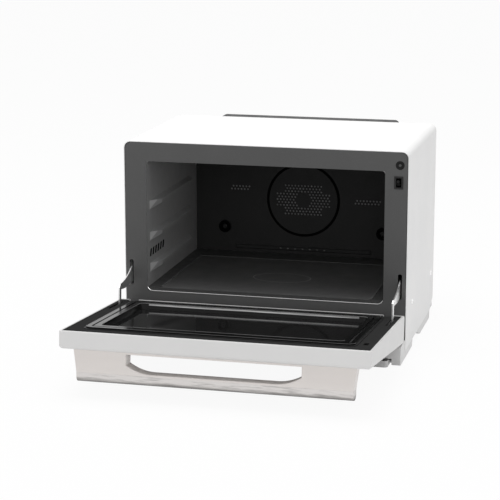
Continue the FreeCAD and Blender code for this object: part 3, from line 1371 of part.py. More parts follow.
def control_panel():
    plate = face_rect(PANEL_HALF, PANEL_T, 0, PANEL_CORNER, 0, PANEL_THICK)
    dial_hole = rod_y(DIAL_X, DIAL_T, -OVER, PANEL_THICK + OVER, SHAFT_RADIUS + RUNNING_GAP)
    lens_bed = slab(rect(LENS_X[0], LENS_X[1], DIAL_T - LENS_HALF, DIAL_T + LENS_HALF, LENS_CORNER),
                    "xz", -OVER, LENS_BED)
    buttons = [button_block(x, SEAT + TOUCH, -OVER, PANEL_THICK + OVER) for x in BUTTON_X]
    return on_face(plate.cut([dial_hole, lens_bed] + buttons))


def display_lens():
    inset = 2 * TOUCH
    return on_face(slab(rect(LENS_X[0] + inset, LENS_X[1] - inset, DIAL_T - LENS_HALF + inset,
                             DIAL_T + LENS_HALF - inset, LENS_CORNER), "xz", -LENS_PROUD, LENS_BED - TOUCH))


def dial():
    shoulder = DIAL_RADIUS - DIAL_BEVEL
    rim = DIAL_RADIUS - DIAL_RIM
    dish = DIAL_HEIGHT - DIAL_DISH
    profile = [(0, -DIAL_STEM), (SHAFT_RADIUS, -DIAL_STEM), (SHAFT_RADIUS, DIAL_LIFT),
               (DIAL_RADIUS, DIAL_LIFT), (DIAL_RADIUS, DIAL_HEIGHT - DIAL_BEVEL), (shoulder, DIAL_HEIGHT),
               (rim, DIAL_HEIGHT), (rim - DIAL_DISH, dish), (0, dish)]
    knob = turned(profile, V(DIAL_X, 0, DIAL_T), V(0, -1, 0))
    half, start, depth = DIAL_MARK
    mark = box(DIAL_X - half, DIAL_X + half, -DIAL_HEIGHT - OVER, depth - DIAL_HEIGHT,
               DIAL_T + start, DIAL_T + DIAL_RADIUS + OVER)
    return on_face(knob.cut(mark))


def button(x):
    collar_front, back = BUTTON_COLLAR_Y
    cap = button_block(x, 0, -BUTTON_RISE, back)
    collar = button_block(x, BUTTON_COLLAR, collar_front, back)
    return on_face(fused([cap, collar]))


def control_board():
    front, back = CONTROL_BOARD_Y
    board = box(CONTROL_BOARD_X[0], CONTROL_BOARD_X[1], front, back, PANEL_T[0] + PILLAR_INSET,
                PANEL_T[1] - PILLAR_INSET)
    pillars = [rod_y(x, t, DOOR_WALL + TOUCH, front + SEAT, PILLAR_RADIUS)
               for x in CONTROL_PILLAR_X for t in CONTROL_PILLAR_T]
    width, height = CHIP_SIZE
    chips = [box(x, x + width, back - TOUCH, back + height, CHIP_T[0], CHIP_T[1]) for x in CHIP_X]
    return on_face(fused([board] + pillars + chips))


# Stay arms, drawn with the door open about their own pin

def turn(point, degrees):
    c = math.cos(math.radians(degrees))
    s = math.sin(math.radians(degrees))
    return (point[0] * c - point[1] * s, point[0] * s + point[1] * c)


def arm_centre(closing):
    """Point of the arm that lies in its frame slot when the door has closed by an angle."""
    pin = turn(ARM_PIN, OPEN_ANGLE - closing)
    return turn((ARM_GUIDE[0] - pin[0], ARM_GUIDE[1] - pin[1]), ARM_TURN * closing)


def arm_edge(side):
    """Curve along one edge of the arm, whose width grows towards its tail."""
    step = 0.5
    points = []
    for i in range(ARM_STEPS + 1):
        closing = OPEN_ANGLE - (OPEN_ANGLE + ARM_TAIL) * i / ARM_STEPS
        a = arm_centre(closing + step)
        b = arm_centre(closing - step)
        along = V(0, b[0] - a[0], b[1] - a[1]).normalize()
        half = ARM_HALF[0] + (ARM_HALF[1] - ARM_HALF[0]) * min(1.0, 1.0 - closing / OPEN_ANGLE)
        centre = arm_centre(closing)
        points.append(V(0, centre[0] - side * half * along.z, centre[1] + side * half * along.y))
    return points


def edge_curve(points):
    curve = Part.BSplineCurve()
    curve.interpolate(points)
    return curve.toShape()


def stay_arm():
    upper = arm_edge(1)
    lower = arm_edge(-1)
    tail = Part.LineSegment(upper[-1], lower[-1]).toShape()
    knee = Part.LineSegment(lower[0], upper[0]).toShape()
    blade = Part.Face(Part.Wire([edge_curve(upper), tail, edge_curve(lower), knee]))
    left = -ARM_THICK / 2
    blade.translate(V(left, 0, 0))
    knee_y, knee_z = arm_centre(OPEN_ANGLE)
    leg = slab([(-ARM_LEG_HALF, 0), (ARM_LEG_HALF, 0)] + [(knee_y + y, knee_z + z) for y, z in ARM_KNEE],
               "yz", left, left + ARM_THICK)
    boss = rod(V(left, 0, 0), V(left + ARM_THICK, 0, 0), ARM_BOSS)
    bore = rod(V(-ARM_THICK, 0, 0), V(ARM_THICK, 0, 0), ARM_PIN_RADIUS + RUNNING_GAP)
    arm = fused([blade.extrude(V(ARM_THICK, 0, 0)), leg, boss]).cut(bore)
    pin = turn(ARM_PIN, OPEN_ANGLE)
    arm.translate(V(ARM_X, HINGE_Y + pin[0], HINGE_Z + pin[1]))
    return arm


# Assembly

body_pieces = [
    outer_cover, cover_screws, base_pan, rear_panel, rear_cover, cord_gland, front_plinth, front_feet,
    rear_feet, drip_tray, front_frame, latch_receptacle, latch_hook, door_switch, door_bumper,
    hinge_brackets, hinge_pins, chamber_wrap, chamber_back, fan_cover, chamber_floor, floor_plate,
    floor_seal, fan_housing, fan_motor, motor_shaft, convection_fan, ring_heater, upper_heater,
    temperature_sensor, oven_lamp, antenna, waveguide, antenna_motor, magnetron, inverter_board,
    power_board, cooling_fan_frame, cooling_fan_rotor,
]
door_pieces = [
    door_shell, door_inner_frame, choke_frame, door_gasket, door_inner_glass, door_window, hinge_blocks,
    stay_arm_brackets, stay_arm_pins, handle, handle_trim, control_panel, display_lens, dial, control_board,
]
for piece in body_pieces:
    nodes[piece.__name__] = piece()
nodes["stay_arm_right"] = stay_arm()
nodes["stay_arm_left"] = mirrored(nodes["stay_arm_right"])
for piece in door_pieces:
    nodes[piece.__name__] = opened(piece())
for number, x in enumerate(BUTTON_X, 1):
    nodes["button_%d" % number] = opened(button(x))

whole = Part.makeCompound(list(nodes.values())).BoundBox
shift = -(whole.YMin + whole.YMax) / 2

os.makedirs("parts", exist_ok=True)
for name, shape in nodes.items():
    shape.translate(V(0, shift, 0))
    shape.exportStep("parts/%s.step" % name)
print("front frame at y = %.3f, %d nodes" % (shift, len(nodes)))
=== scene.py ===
import json
import math

import bmesh
import bpy
from mathutils import Matrix, Vector


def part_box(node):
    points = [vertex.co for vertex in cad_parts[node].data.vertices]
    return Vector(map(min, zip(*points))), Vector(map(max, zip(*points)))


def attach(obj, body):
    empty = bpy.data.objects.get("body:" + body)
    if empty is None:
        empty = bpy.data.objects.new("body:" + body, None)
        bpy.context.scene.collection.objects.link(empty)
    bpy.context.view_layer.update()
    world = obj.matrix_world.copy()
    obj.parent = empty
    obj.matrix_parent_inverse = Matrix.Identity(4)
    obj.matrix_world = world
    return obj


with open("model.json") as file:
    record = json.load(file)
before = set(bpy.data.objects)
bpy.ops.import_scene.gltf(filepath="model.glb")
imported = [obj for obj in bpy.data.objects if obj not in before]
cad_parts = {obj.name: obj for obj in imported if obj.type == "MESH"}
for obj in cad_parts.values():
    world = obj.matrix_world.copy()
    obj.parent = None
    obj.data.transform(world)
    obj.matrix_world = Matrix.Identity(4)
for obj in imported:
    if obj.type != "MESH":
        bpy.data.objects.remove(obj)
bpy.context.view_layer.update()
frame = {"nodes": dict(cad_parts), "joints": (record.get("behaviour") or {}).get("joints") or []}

# Looks of a bench-top oven with a drop-down door, in metres.
# +X is right seen from the front, +Y is back, +Z is up, and the bench is at z = 0.

MM = 0.001

# Places taken from the frame
FRONT_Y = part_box("front_frame")[0].y
REAR_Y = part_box("rear_panel")[1].y
HOUSING_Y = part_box("rear_cover")[1].y
PLATE_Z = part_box("floor_plate")[1].z
SIDE_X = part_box("outer_cover")[1].x
TRIM_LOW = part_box("handle_trim")[0].z
JOINTS = {joint["name"]: joint for joint in frame["joints"]}
HINGE = Vector(JOINTS["door_hinge"]["pos_m"])
OPEN_ANGLE = math.radians(JOINTS["door_hinge"]["range_deg"][1])
FACE_OUT = Vector(JOINTS["dial_turn"]["axis"])
DIAL_PLACE = Vector(JOINTS["dial_turn"]["pos_m"])
FAN_Z = JOINTS["convection_fan_spin"]["pos_m"][2] / MM

# View of the photograph
CAMERA_PLACE = (0.6871, -2.8946, 0.8411)
CAMERA_AZIMUTH = 13.9
CAMERA_ELEVATION = 12.67
CAMERA_SENSOR = 36.0
CAMERA_LENS = 127.87
CAMERA_REACH = 200.0

# Studio: a lamp has its name, place, aim, diameter and power
WHITE = (1, 1, 1, 1)
WORLD_LIGHT = 0.66
FLOOR_HALF = 30.0
FLOOR_COLOUR = (0.85, 0.85, 0.85, 1)
FLOOR_GLOW = 0.93
LAMPS = [
    ("overhead", (-0.2, 0.0, 2.6), (0, 0.1, 0.2), 2.0, 34.0),
    ("front", (0.7, -3.4, 1.2), (0, 0, 0.2), 1.4, 12.0),
    ("right", (2.6, -1.6, 0.9), (0, 0, 0.15), 1.6, 2.0),
]


# Finishes: each starts from one shader, and grain, tint and relief nodes are added to it

def start_finish(name, roughness, metallic=0.0, specular=0.5, coat=0.0):
    """New finish and its shader, with the settings that are even all over."""
    finish = bpy.data.materials.new(name)
    finish.use_nodes = True
    shader = finish.node_tree.nodes["Principled BSDF"]
    shader.inputs["Roughness"].default_value = roughness
    shader.inputs["Metallic"].default_value = metallic
    shader.inputs["Specular IOR Level"].default_value = specular
    shader.inputs["Coat Weight"].default_value = coat
    return finish, shader


def add_node(owner, kind, inputs, **settings):
    """Node of a finish or of the world, with each input set to a value or linked to a socket."""
    made = owner.node_tree.nodes.new(kind)
    for name, value in settings.items():
        setattr(made, name, value)
    for name, value in inputs.items():
        if isinstance(value, bpy.types.NodeSocket):
            owner.node_tree.links.new(value, made.inputs[name])
        else:
            made.inputs[name].default_value = value
    return made


def place(finish, stretch=(1, 1, 1)):
    """Object coordinates, squeezed along an axis where the grain is drawn out."""
    where = finish.node_tree.nodes.new("ShaderNodeTexCoord").outputs["Object"]
    return add_node(finish, "ShaderNodeMapping", {"Vector": where, "Scale": stretch}).outputs[0]


def grain(finish, scale, detail=3.0, stretch=(1, 1, 1)):
    """Cloudy noise."""
    made = add_node(finish, "ShaderNodeTexNoise",
                    {"Vector": place(finish, stretch), "Scale": scale, "Detail": detail})
    return made.outputs["Fac"]


def cells(finish, scale):
    """Noise of small cells, each with a distance and a colour of its own."""
    return add_node(finish, "ShaderNodeTexVoronoi", {"Vector": place(finish), "Scale": scale})


def spread(finish, value, low, high, start=0.3, end=0.7):
    """Value between start and end, spread from low to high."""
    made = add_node(finish, "ShaderNodeMapRange",
                    {"Value": value, "From Min": start, "From Max": end, "To Min": low, "To Max": high})
    return made.outputs["Result"]


def tint(finish, shader, value, dark, light, start=0.3, end=0.7):
    """Base colour that varies between a dark and a light colour."""
    ramp = add_node(finish, "ShaderNodeValToRGB", {"Fac": value})
    ramp.color_ramp.elements[0].position = start
    ramp.color_ramp.elements[1].position = end
    ramp.color_ramp.elements[0].color = (*dark, 1.0)
    ramp.color_ramp.elements[1].color = (*light, 1.0)
    finish.node_tree.links.new(ramp.outputs["Color"], shader.inputs["Base Color"])


def gloss(finish, shader, value, low, high):
    """Roughness that varies between two values."""
    finish.node_tree.links.new(spread(finish, value, low, high), shader.inputs["Roughness"])


def relief(finish, shader, height, depth):
    """Bumps of a given depth."""
    bump = add_node(finish, "ShaderNodeBump", {"Height": height, "Distance": depth})
    finish.node_tree.links.new(bump.outputs["Normal"], shader.inputs["Normal"])


def grey(value, warm=0.0):
    """Grey, turned slightly to red where it is warm."""
    return (value * (1 + warm), value, value * (1 - warm))


def powder_coat():
    """Satin white paint with the fine orange peel of a baked powder."""
    finish, shader = start_finish("powder_coat", 0.4)
    tint(finish, shader, grain(finish, 9.0), grey(0.81), grey(0.84, 0.004))
    gloss(finish, shader, grain(finish, 60.0), 0.36, 0.46)
    relief(finish, shader, grain(finish, 950.0, 2.0), 0.00003)
    return finish


def moulded_white():
    """White moulded plastic, smoother than the paint."""
    finish, shader = start_finish("moulded_white", 0.3)
    tint(finish, shader, grain(finish, 14.0), grey(0.68, 0.004), grey(0.695, 0.006))
    gloss(finish, shader, grain(finish, 45.0), 0.34, 0.4)
    relief(finish, shader, grain(finish, 2200.0, 1.0), 0.00001)
    return finish


def moulded_warm_white():
    """Warm pearl plastic of the handle, drawn out slightly along its length."""
    finish, shader = start_finish("moulded_warm_white", 0.32)
    flow = grain(finish, 30.0, 4.0, (0.08, 1, 1))
    tint(finish, shader, flow, (0.70, 0.66, 0.635), (0.75, 0.71, 0.685))
    gloss(finish, shader, flow, 0.28, 0.38)
    relief(finish, shader, grain(finish, 1800.0, 1.0), 0.00001)
    return finish


def galvanised_sheet():
    """Zinc spangle: flat crystals that catch the light differently."""
    finish, shader = start_finish("galvanised_sheet", 0.45, metallic=0.9)
    spangle = cells(finish, 110.0)
    tone = add_node(finish, "ShaderNodeSeparateColor", {"Color": spangle.outputs["Color"]})
    tint(finish, shader, tone.outputs["Red"], grey(0.46), grey(0.60), 0.0, 1.0)
    gloss(finish, shader, tone.outputs["Green"], 0.34, 0.52)
    relief(finish, shader, spangle.outputs["Distance"], 0.00002)
    return finish


def moulded_black(name, specular):
    """Spark-textured black plastic."""
    finish, shader = start_finish(name, 0.5, specular=specular)
    tint(finish, shader, grain(finish, 40.0), grey(0.009), grey(0.015))
    gloss(finish, shader, grain(finish, 90.0), 0.42, 0.56)
    relief(finish, shader, grain(finish, 1500.0, 2.0), 0.00004)
    return finish


def speckled_enamel(name, dark, light, fleck, roughness, specular):
    """Fired enamel: a dense ground with small pale flecks and a slightly uneven gloss."""
    finish, shader = start_finish(name, roughness, specular=specular)
    flecks = cells(finish, 420.0)
    ramp = add_node(finish, "ShaderNodeValToRGB", {"Fac": grain(finish, 18.0)})
    ramp.color_ramp.elements[0].color = (*grey(dark), 1.0)
    ramp.color_ramp.elements[1].color = (*grey(light), 1.0)
    near_fleck = spread(finish, flecks.outputs["Distance"], 1.0, 0.0, 0.08, 0.2)
    mix = add_node(finish, "ShaderNodeMix",
                   {0: near_fleck, 6: ramp.outputs["Color"], 7: (*grey(fleck), 1.0)}, data_type="RGBA")
    finish.node_tree.links.new(mix.outputs[2], shader.inputs["Base Color"])
    gloss(finish, shader, grain(finish, 70.0), roughness - 0.05, roughness + 0.06)
    relief(finish, shader, grain(finish, 600.0, 2.0), 0.000006)
    return finish


def gloss_black(name, roughness, specular):
    """Polished black with a trace of handling haze."""
    finish, shader = start_finish(name, roughness, specular=specular)
    haze = grain(finish, 22.0, 5.0)
    tint(finish, shader, haze, grey(0.005), grey(0.009))
    gloss(finish, shader, haze, roughness * 0.7, roughness * 1.4)
    relief(finish, shader, grain(finish, 900.0, 1.0), 0.000006)
    return finish


def ceramic_plate():
    """Dark sealed ceramic with a fine fleck in its glaze."""
    finish, shader = start_finish("ceramic_plate", 0.34, specular=0.2)
    flecks = cells(finish, 700.0)
    tint(finish, shader, flecks.outputs["Distance"], grey(0.125), grey(0.09), 0.05, 0.5)
    gloss(finish, shader, grain(finish, 25.0, 4.0), 0.3, 0.42)
    relief(finish, shader, grain(finish, 350.0, 2.0), 0.00003)
    return finish


def soft_rubber(name, value, roughness, specular):
    """Finely grained matt surface of rubber and silicone, also used for the grey sheets of painted light and
    the black sheets of painted shade.
    """
    finish, shader = start_finish(name, roughness, specular=specular)
    tint(finish, shader, grain(finish, 80.0), grey(value * 0.8), grey(value * 1.2))
    gloss(finish, shader, grain(finish, 160.0), roughness - 0.08, roughness + 0.08)
    relief(finish, shader, grain(finish, 1300.0, 2.0), 0.00005)
    return finish


def screened_glass():
    """Dark door glass over a punched metal screen."""
    finish, shader = start_finish("screened_glass", 0.05, specular=0.2)
    dots = cells(finish, 620.0)
    tint(finish, shader, dots.outputs["Distance"], grey(0.004), grey(0.014), 0.25, 0.45)
    gloss(finish, shader, grain(finish, 12.0, 5.0), 0.03, 0.09)
    return finish


def smoked_lens():
    """Smoked display lens, slightly hazy from wiping."""
    finish, shader = start_finish("smoked_lens", 0.06, coat=0.5)
    haze = grain(finish, 35.0, 4.0)
    tint(finish, shader, haze, (0.006, 0.007, 0.008), (0.012, 0.014, 0.016))
    gloss(finish, shader, haze, 0.04, 0.1)
    return finish


def brushed_steel():
    """Steel brushed from side to side."""
    finish, shader = start_finish("brushed_steel", 0.3, metallic=1.0)
    lines = grain(finish, 1500.0, 3.0, (0.01, 1, 1))
    tint(finish, shader, lines, grey(0.52, 0.01), grey(0.66, 0.01))
    gloss(finish, shader, lines, 0.29, 0.42)
    relief(finish, shader, lines, 0.00002)
    return finish


def nose_steel():
    """Steel of the handle's nose: long uneven streaks, with painted shade that darkens it where it turns
    under.
    """
    finish, shader = start_finish("nose_steel", 0.45, metallic=0.7)
    streaks = grain(finish, 280.0, 5.0, (0.1, 1, 1))
    height = add_node(finish, "ShaderNodeSeparateXYZ", {"Vector": place(finish)}).outputs["Z"]
    # painted shade: the colour darkens over the lowest 10 mm of the nose, where it turns under
    painted_under_shade = spread(finish, height, 0.05, 1.0, TRIM_LOW, TRIM_LOW + 10 * MM)
    value = add_node(finish, "ShaderNodeMath", {0: streaks, 1: painted_under_shade}, operation="MULTIPLY")
    tint(finish, shader, value.outputs[0], (0.07, 0.066, 0.062), (0.66, 0.635, 0.62), 0.06, 0.5)
    gloss(finish, shader, streaks, 0.38, 0.55)
    relief(finish, shader, grain(finish, 1500.0, 3.0, (0.01, 1, 1)), 0.00002)
    return finish


def polished_steel(name, dark, light):
    """Bright pressed steel with drawing lines from its tool."""
    finish, shader = start_finish(name, 0.2, metallic=1.0)
    lines = grain(finish, 700.0, 4.0, (0.3, 0.05, 0.3))
    tint(finish, shader, lines, grey(dark), grey(light, 0.005))
    gloss(finish, shader, lines, 0.14, 0.25)
    relief(finish, shader, lines, 0.00001)
    return finish


def zinc_plate():
    """Pale zinc plating, cloudy rather than mirror bright."""
    finish, shader = start_finish("zinc_plate", 0.3, metallic=1.0)
    cloud = grain(finish, 260.0, 4.0)
    tint(finish, shader, cloud, grey(0.86), grey(0.94))
    gloss(finish, shader, cloud, 0.29, 0.4)
    relief(finish, shader, grain(finish, 900.0, 2.0), 0.00001)
    return finish


def drawn_steel():
    """Thin steel strip with streaks along it."""
    finish, shader = start_finish("drawn_steel", 0.3, metallic=1.0)
    streaks = grain(finish, 900.0, 4.0, (0.01, 1, 1))
    tint(finish, shader, streaks, grey(0.03), grey(0.46), 0.38, 0.66)
    gloss(finish, shader, streaks, 0.29, 0.4)
    relief(finish, shader, streaks, 0.00002)
    return finish


def aluminised_sheet():
    """Soft grey coated steel, cloudy from heat."""
    finish, shader = start_finish("aluminised_sheet", 0.55, metallic=0.6)
    cloud = grain(finish, 55.0, 5.0)
    tint(finish, shader, cloud, grey(0.56), grey(0.70, 0.01))
    gloss(finish, shader, cloud, 0.45, 0.65)
    relief(finish, shader, grain(finish, 800.0, 2.0), 0.00003)
    return finish


def heater_oxide():
    """Sheath steel darkened and mottled by heat."""
    finish, shader = start_finish("heater_oxide", 0.5, metallic=0.7)
    scale = grain(finish, 180.0, 6.0)
    tint(finish, shader, scale, (0.07, 0.062, 0.058), (0.15, 0.135, 0.12))
    gloss(finish, shader, scale, 0.4, 0.62)
    relief(finish, shader, grain(finish, 1200.0, 3.0), 0.00005)
    return finish


def mica_sheet():
    """Pressed mica flakes."""
    finish, shader = start_finish("mica_sheet", 0.4)
    flakes = cells(finish, 160.0)
    tone = add_node(finish, "ShaderNodeSeparateColor", {"Color": flakes.outputs["Color"]})
    tint(finish, shader, tone.outputs["Red"], (0.38, 0.30, 0.20), (0.58, 0.50, 0.38), 0.0, 1.0)
    gloss(finish, shader, tone.outputs["Blue"], 0.3, 0.55)
    relief(finish, shader, flakes.outputs["Distance"], 0.00004)
    return finish


def laminated_steel():
    """Motor steel with the edges of its stacked sheets."""
    finish, shader = start_finish("laminated_steel", 0.4, metallic=0.85)
    sheets = add_node(finish, "ShaderNodeTexWave",
                      {"Vector": place(finish), "Scale": 320.0, "Distortion": 0.2}, bands_direction="Y")
    tint(finish, shader, sheets.outputs["Fac"], grey(0.28), grey(0.46), 0.1, 0.6)
    gloss(finish, shader, grain(finish, 120.0), 0.32, 0.5)
    relief(finish, shader, sheets.outputs["Fac"], 0.0001)
    return finish


def solder_mask():
    """Green board with its copper runs showing through as paler lines."""
    finish, shader = start_finish("solder_mask", 0.3, coat=0.3)
    runs = add_node(finish, "ShaderNodeTexBrick",
                    {"Vector": place(finish), "Scale": 70.0, "Mortar Size": 0.03,
                     "Color1": (0.012, 0.075, 0.03, 1), "Color2": (0.016, 0.09, 0.036, 1),
                     "Mortar": (0.05, 0.16, 0.06, 1)})
    finish.node_tree.links.new(runs.outputs["Color"], shader.inputs["Base Color"])
    gloss(finish, shader, grain(finish, 90.0), 0.3, 0.42)
    relief(finish, shader, runs.outputs["Fac"], 0.00005)
    return finish


def printed_ink(name, colour):
    """Thin screen print, a little uneven in its cover."""
    finish, shader = start_finish(name, 0.5, specular=0.2)
    ink = grain(finish, 900.0, 3.0)
    tint(finish, shader, ink, tuple(0.85 * c for c in colour), colour)
    gloss(finish, shader, ink, 0.42, 0.58)
    return finish


# Finishes of the small pieces
ZINC_SHEET = galvanised_sheet()
BRIGHT = polished_steel("bright_steel", 0.68, 0.78)
STREAKED = drawn_steel()
# painted highlight: light enamel of the bead along the inner edge of the door's raised frame
HIGHLIGHT_GREY = speckled_enamel("highlight_grey", 0.14, 0.18, 0.24, 0.34, 0.5)
# dark grey of the bumper stud, also a dim painted highlight along the outer edge of the door's raised frame
DIM_HIGHLIGHT_AND_STUD_GREY = speckled_enamel("dim_highlight_and_stud_grey", 0.06, 0.075, 0.1, 0.34, 0.4)
REAR_COATING = speckled_enamel("rear_coating", 0.022, 0.03, 0.055, 0.45, 0.1)
# painted light: grey of the sheets behind the holes of the fan cover and the back wall
HOLE_LIGHT_GREY = soft_rubber("hole_light_grey", 0.19, 0.6, 0.3)
# painted highlight: pale enamel of the shelf ramps, lighter than the chamber walls
PAINTED_HIGHLIGHT_GREY = speckled_enamel("painted_highlight_grey", 0.46, 0.54, 0.6, 0.4, 0.4)
# painted shade: near-black for the vents, the fan cover's groove and the rings on the bosses
SHADE_BLACK = soft_rubber("shade_black", 0.002, 0.8, 0.02)
INK_PALE = printed_ink("ink_pale", (0.62, 0.63, 0.63))
INK_FLOOR = printed_ink("ink_floor", (0.34, 0.34, 0.34))
INK_DIM = printed_ink("ink_dim", (0.045, 0.05, 0.055))
DEEP_BLACK = moulded_black("deep_black", 0.05)

# Finish of every CAD node
DRESSED = [
    (powder_coat(), ["outer_cover"]),
    (polished_steel("screw_chrome", 0.94, 0.98), ["cover_screws"]),
    (zinc_plate(), ["stay_arm_left", "stay_arm_right"]),
    (moulded_white(), ["door_shell", "front_plinth", "drip_tray", "rear_feet"]),
    (moulded_warm_white(), ["handle"]),
    (ZINC_SHEET, ["base_pan", "rear_panel", "fan_housing", "waveguide", "hinge_brackets",
                  "stay_arm_brackets", "hinge_blocks", "oven_lamp"]),
    (moulded_black("moulded_black", 0.3), ["rear_cover", "cord_gland", "latch_receptacle", "door_switch",
                                           "cooling_fan_frame", "cooling_fan_rotor"]),
    (DEEP_BLACK, ["latch_hook"]),
    (speckled_enamel("frame_enamel", 0.078, 0.092, 0.12, 0.42, 0.3), ["front_frame"]),
    (speckled_enamel("door_enamel", 0.028, 0.034, 0.05, 0.4, 0.0), ["door_inner_frame"]),
    (gloss_black("choke_black", 0.16, 0.14), ["choke_frame"]),
    (speckled_enamel("chamber_coating", 0.28, 0.32, 0.36, 0.36, 0.4), ["chamber_wrap"]),
    (REAR_COATING, ["chamber_back", "fan_cover"]),
    (speckled_enamel("floor_coating", 0.05, 0.062, 0.11, 0.34, 0.15), ["chamber_floor"]),
    (ceramic_plate(), ["floor_plate"]),
    (soft_rubber("floor_silicone", 0.11, 0.55, 0.2), ["floor_seal"]),
    (soft_rubber("door_silicone", 0.016, 0.5, 0.1), ["door_gasket"]),
    (soft_rubber("foot_rubber", 0.012, 0.7, 0.15), ["front_feet", "door_bumper"]),
    (screened_glass(), ["door_inner_glass", "door_window"]),
    (gloss_black("panel_black", 0.1, 0.5), ["control_panel"]),
    (smoked_lens(), ["display_lens"]),
    (nose_steel(), ["handle_trim"]),
    (brushed_steel(), ["dial", "button_1", "button_2", "button_3", "button_4"]),
    (BRIGHT, ["hinge_pins", "stay_arm_pins", "motor_shaft", "temperature_sensor"]),
    (aluminised_sheet(), ["convection_fan", "antenna", "magnetron"]),
    (heater_oxide(), ["ring_heater"]),
    (mica_sheet(), ["upper_heater"]),
    (laminated_steel(), ["fan_motor", "antenna_motor"]),
    (solder_mask(), ["inverter_board", "power_board", "control_board"]),
]


def dress_frame():
    """Give every CAD node its finish."""
    for finish, names in DRESSED:
        for name in names:
            for slot in frame["nodes"][name].material_slots:
                slot.material = finish


# Small pieces: each is drawn in millimetres in a frame of its own, which a matrix puts in place

def add_piece(shape, name, finish, body):
    """Make a drawn shape a piece that rides on its body."""
    bmesh.ops.remove_doubles(shape, verts=shape.verts, dist=1e-7)
    bmesh.ops.recalc_face_normals(shape, faces=shape.faces)
    mesh = bpy.data.meshes.new(name)
    shape.to_mesh(mesh)
    shape.free()
    mesh.materials.append(finish)
    piece = bpy.data.objects.new(name, mesh)
    bpy.context.scene.collection.objects.link(piece)
    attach(piece, body)


def axes(across, up, out, origin):
    """Matrix of a frame whose unit is a millimetre."""
    turn = Matrix((Vector(across), Vector(up), Vector(out))).transposed().to_4x4()
    return Matrix.Translation(origin) @ turn @ Matrix.Diagonal((MM, MM, MM, 1.0))


def body_point(x, y, z):
    """Point of the body, measured from the face of its front frame and from the bench."""
    return Vector((x * MM, FRONT_Y + y * MM, z * MM))


def front_axes(x, y, z):
    """Frame that faces the front."""
    return axes((1, 0, 0), (0, 0, 1), (0, -1, 0), body_point(x, y, z))


def upright_axes(x, y, z):
    """Frame that faces up."""
    return axes((1, 0, 0), (0, 1, 0), (0, 0, 1), body_point(x, y, z))


def rear_axes(x, z, back):
    """Frame on a wall that faces the rear."""
    return axes((-1, 0, 0), (0, 0, 1), (0, 1, 0), (x * MM, back, z * MM))


DOOR_UP = Vector((0, -math.sin(OPEN_ANGLE), math.cos(OPEN_ANGLE)))
DOOR_IN = Vector((0, math.cos(OPEN_ANGLE), math.sin(OPEN_ANGLE)))


def door_point(x, depth, up):
    """Point of the open door: across, from the hinge axis towards the chamber, and up the door."""
    return HINGE + Vector((x * MM, 0, 0)) + DOOR_IN * depth * MM + DOOR_UP * up * MM


def door_axes(depth, up):
    """Frame on the inner side of the door, at the middle of its width."""
    return axes((-1, 0, 0), DOOR_UP, DOOR_IN, door_point(0, depth, up))


def face_axes(x, up, out):
    """Frame on the outer face of the door, from the dial's centre line."""
    rise = FACE_OUT.cross(Vector((1, 0, 0)))
    origin = Vector((x * MM, DIAL_PLACE.y, DIAL_PLACE.z)) + rise * up * MM + FACE_OUT * out * MM
    return axes((1, 0, 0), rise, FACE_OUT, origin)


def middle_x(name):
    """Middle of a CAD node across the oven."""
    low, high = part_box(name)
    return (low.x + high.x) / 2 / MM


def edges_of(verts):
    """Edges that meet the given corners, each once."""
    return list(dict.fromkeys(edge for vert in verts for edge in vert.link_edges))


def round_edges(shape, verts, rounding):
    """Round all edges of a block."""
    bmesh.ops.bevel(shape, geom=edges_of(verts), offset=rounding * MM, offset_type="OFFSET",
                    affect="EDGES", segments=2, profile=0.5, material=-1)


def add_bar(shape, matrix, size, rounding):
    """Block with rounded edges."""
    made = bmesh.ops.create_cube(shape, size=1.0, matrix=matrix @ Matrix.Diagonal((*size, 1.0)))
    round_edges(shape, made["verts"], rounding)


def add_turned(shape, matrix, profile, closed, steps):
    """Solid of revolution of a (radius, height) profile about the frame's third axis."""
    before = set(shape.verts)
    verts = [shape.verts.new((radius, 0, height)) for radius, height in profile]
    ends = list(zip(verts, verts[1:]))
    if closed:
        ends.append((verts[-1], verts[0]))
    edges = [shape.edges.new(pair) for pair in ends]
    bmesh.ops.spin(shape, geom=verts + edges, cent=(0, 0, 0), axis=(0, 0, 1), angle=2 * math.pi,
                   steps=steps, use_merge=True, use_duplicate=False)
    fresh = [vert for vert in shape.verts if vert not in before]
    bmesh.ops.transform(shape, matrix=matrix, verts=fresh)


def add_ring(shape, matrix, radii, heights, steps):
    """Flat ring whose upper edges are broken."""
    inner, outer = radii
    low, high = heights
    soft = 0.25 * min(outer - inner, high - low)
    profile = [(inner, low), (outer, low), (outer, high - soft), (outer - soft, high), (inner + soft, high),
               (inner, high - soft)]
    add_turned(shape, matrix, profile, closed=True, steps=steps)


def add_bead(shape, path, flat, radius):
    """Thin round bead with closed ends, along a path of points in a plane with a given normal."""
    rings = []
    for i, spot in enumerate(path):
        before = path[max(i - 1, 0)]
        after = path[min(i + 1, len(path) - 1)]
        along = (after - before).normalized()
        made = bmesh.ops.create_circle(shape, segments=8, radius=radius,
                                       matrix=axes(flat.cross(along), flat, along, spot))
        rings.append(edges_of(made["verts"]))
    for first, second in zip(rings, rings[1:]):
        bmesh.ops.bridge_loops(shape, edges=first + second)
    for end in (rings[0], rings[-1]):
        bmesh.ops.edgeloop_fill(shape, edges=end)


def add_screw(shape, matrix, head):
    """Pan head of a given radius and height, with a rounded rim and a shallow socket in its crown."""
    radius, height = head
    profile = [(0, 0), (radius, 0), (radius, 0.5 * height), (0.86 * radius, 0.85 * height),
               (0.62 * radius, height), (0.34 * radius, height), (0.26 * radius, 0.55 * height),
               (0, 0.55 * height)]
    add_turned(shape, matrix, profile, closed=False, steps=20)


# Chamber mouth

CHAMBER_SHEET = 1.0
MOUTH_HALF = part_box("chamber_wrap")[1].x / MM - CHAMBER_SHEET
MOUTH_LOW = 94.3
MOUTH_CORNER = 10.0
MOUTH_BEAD = 0.7
MOUTH_BEAD_SINK = 0.2
MOUTH_BEAD_ANGLES = range(20, 100, 10)


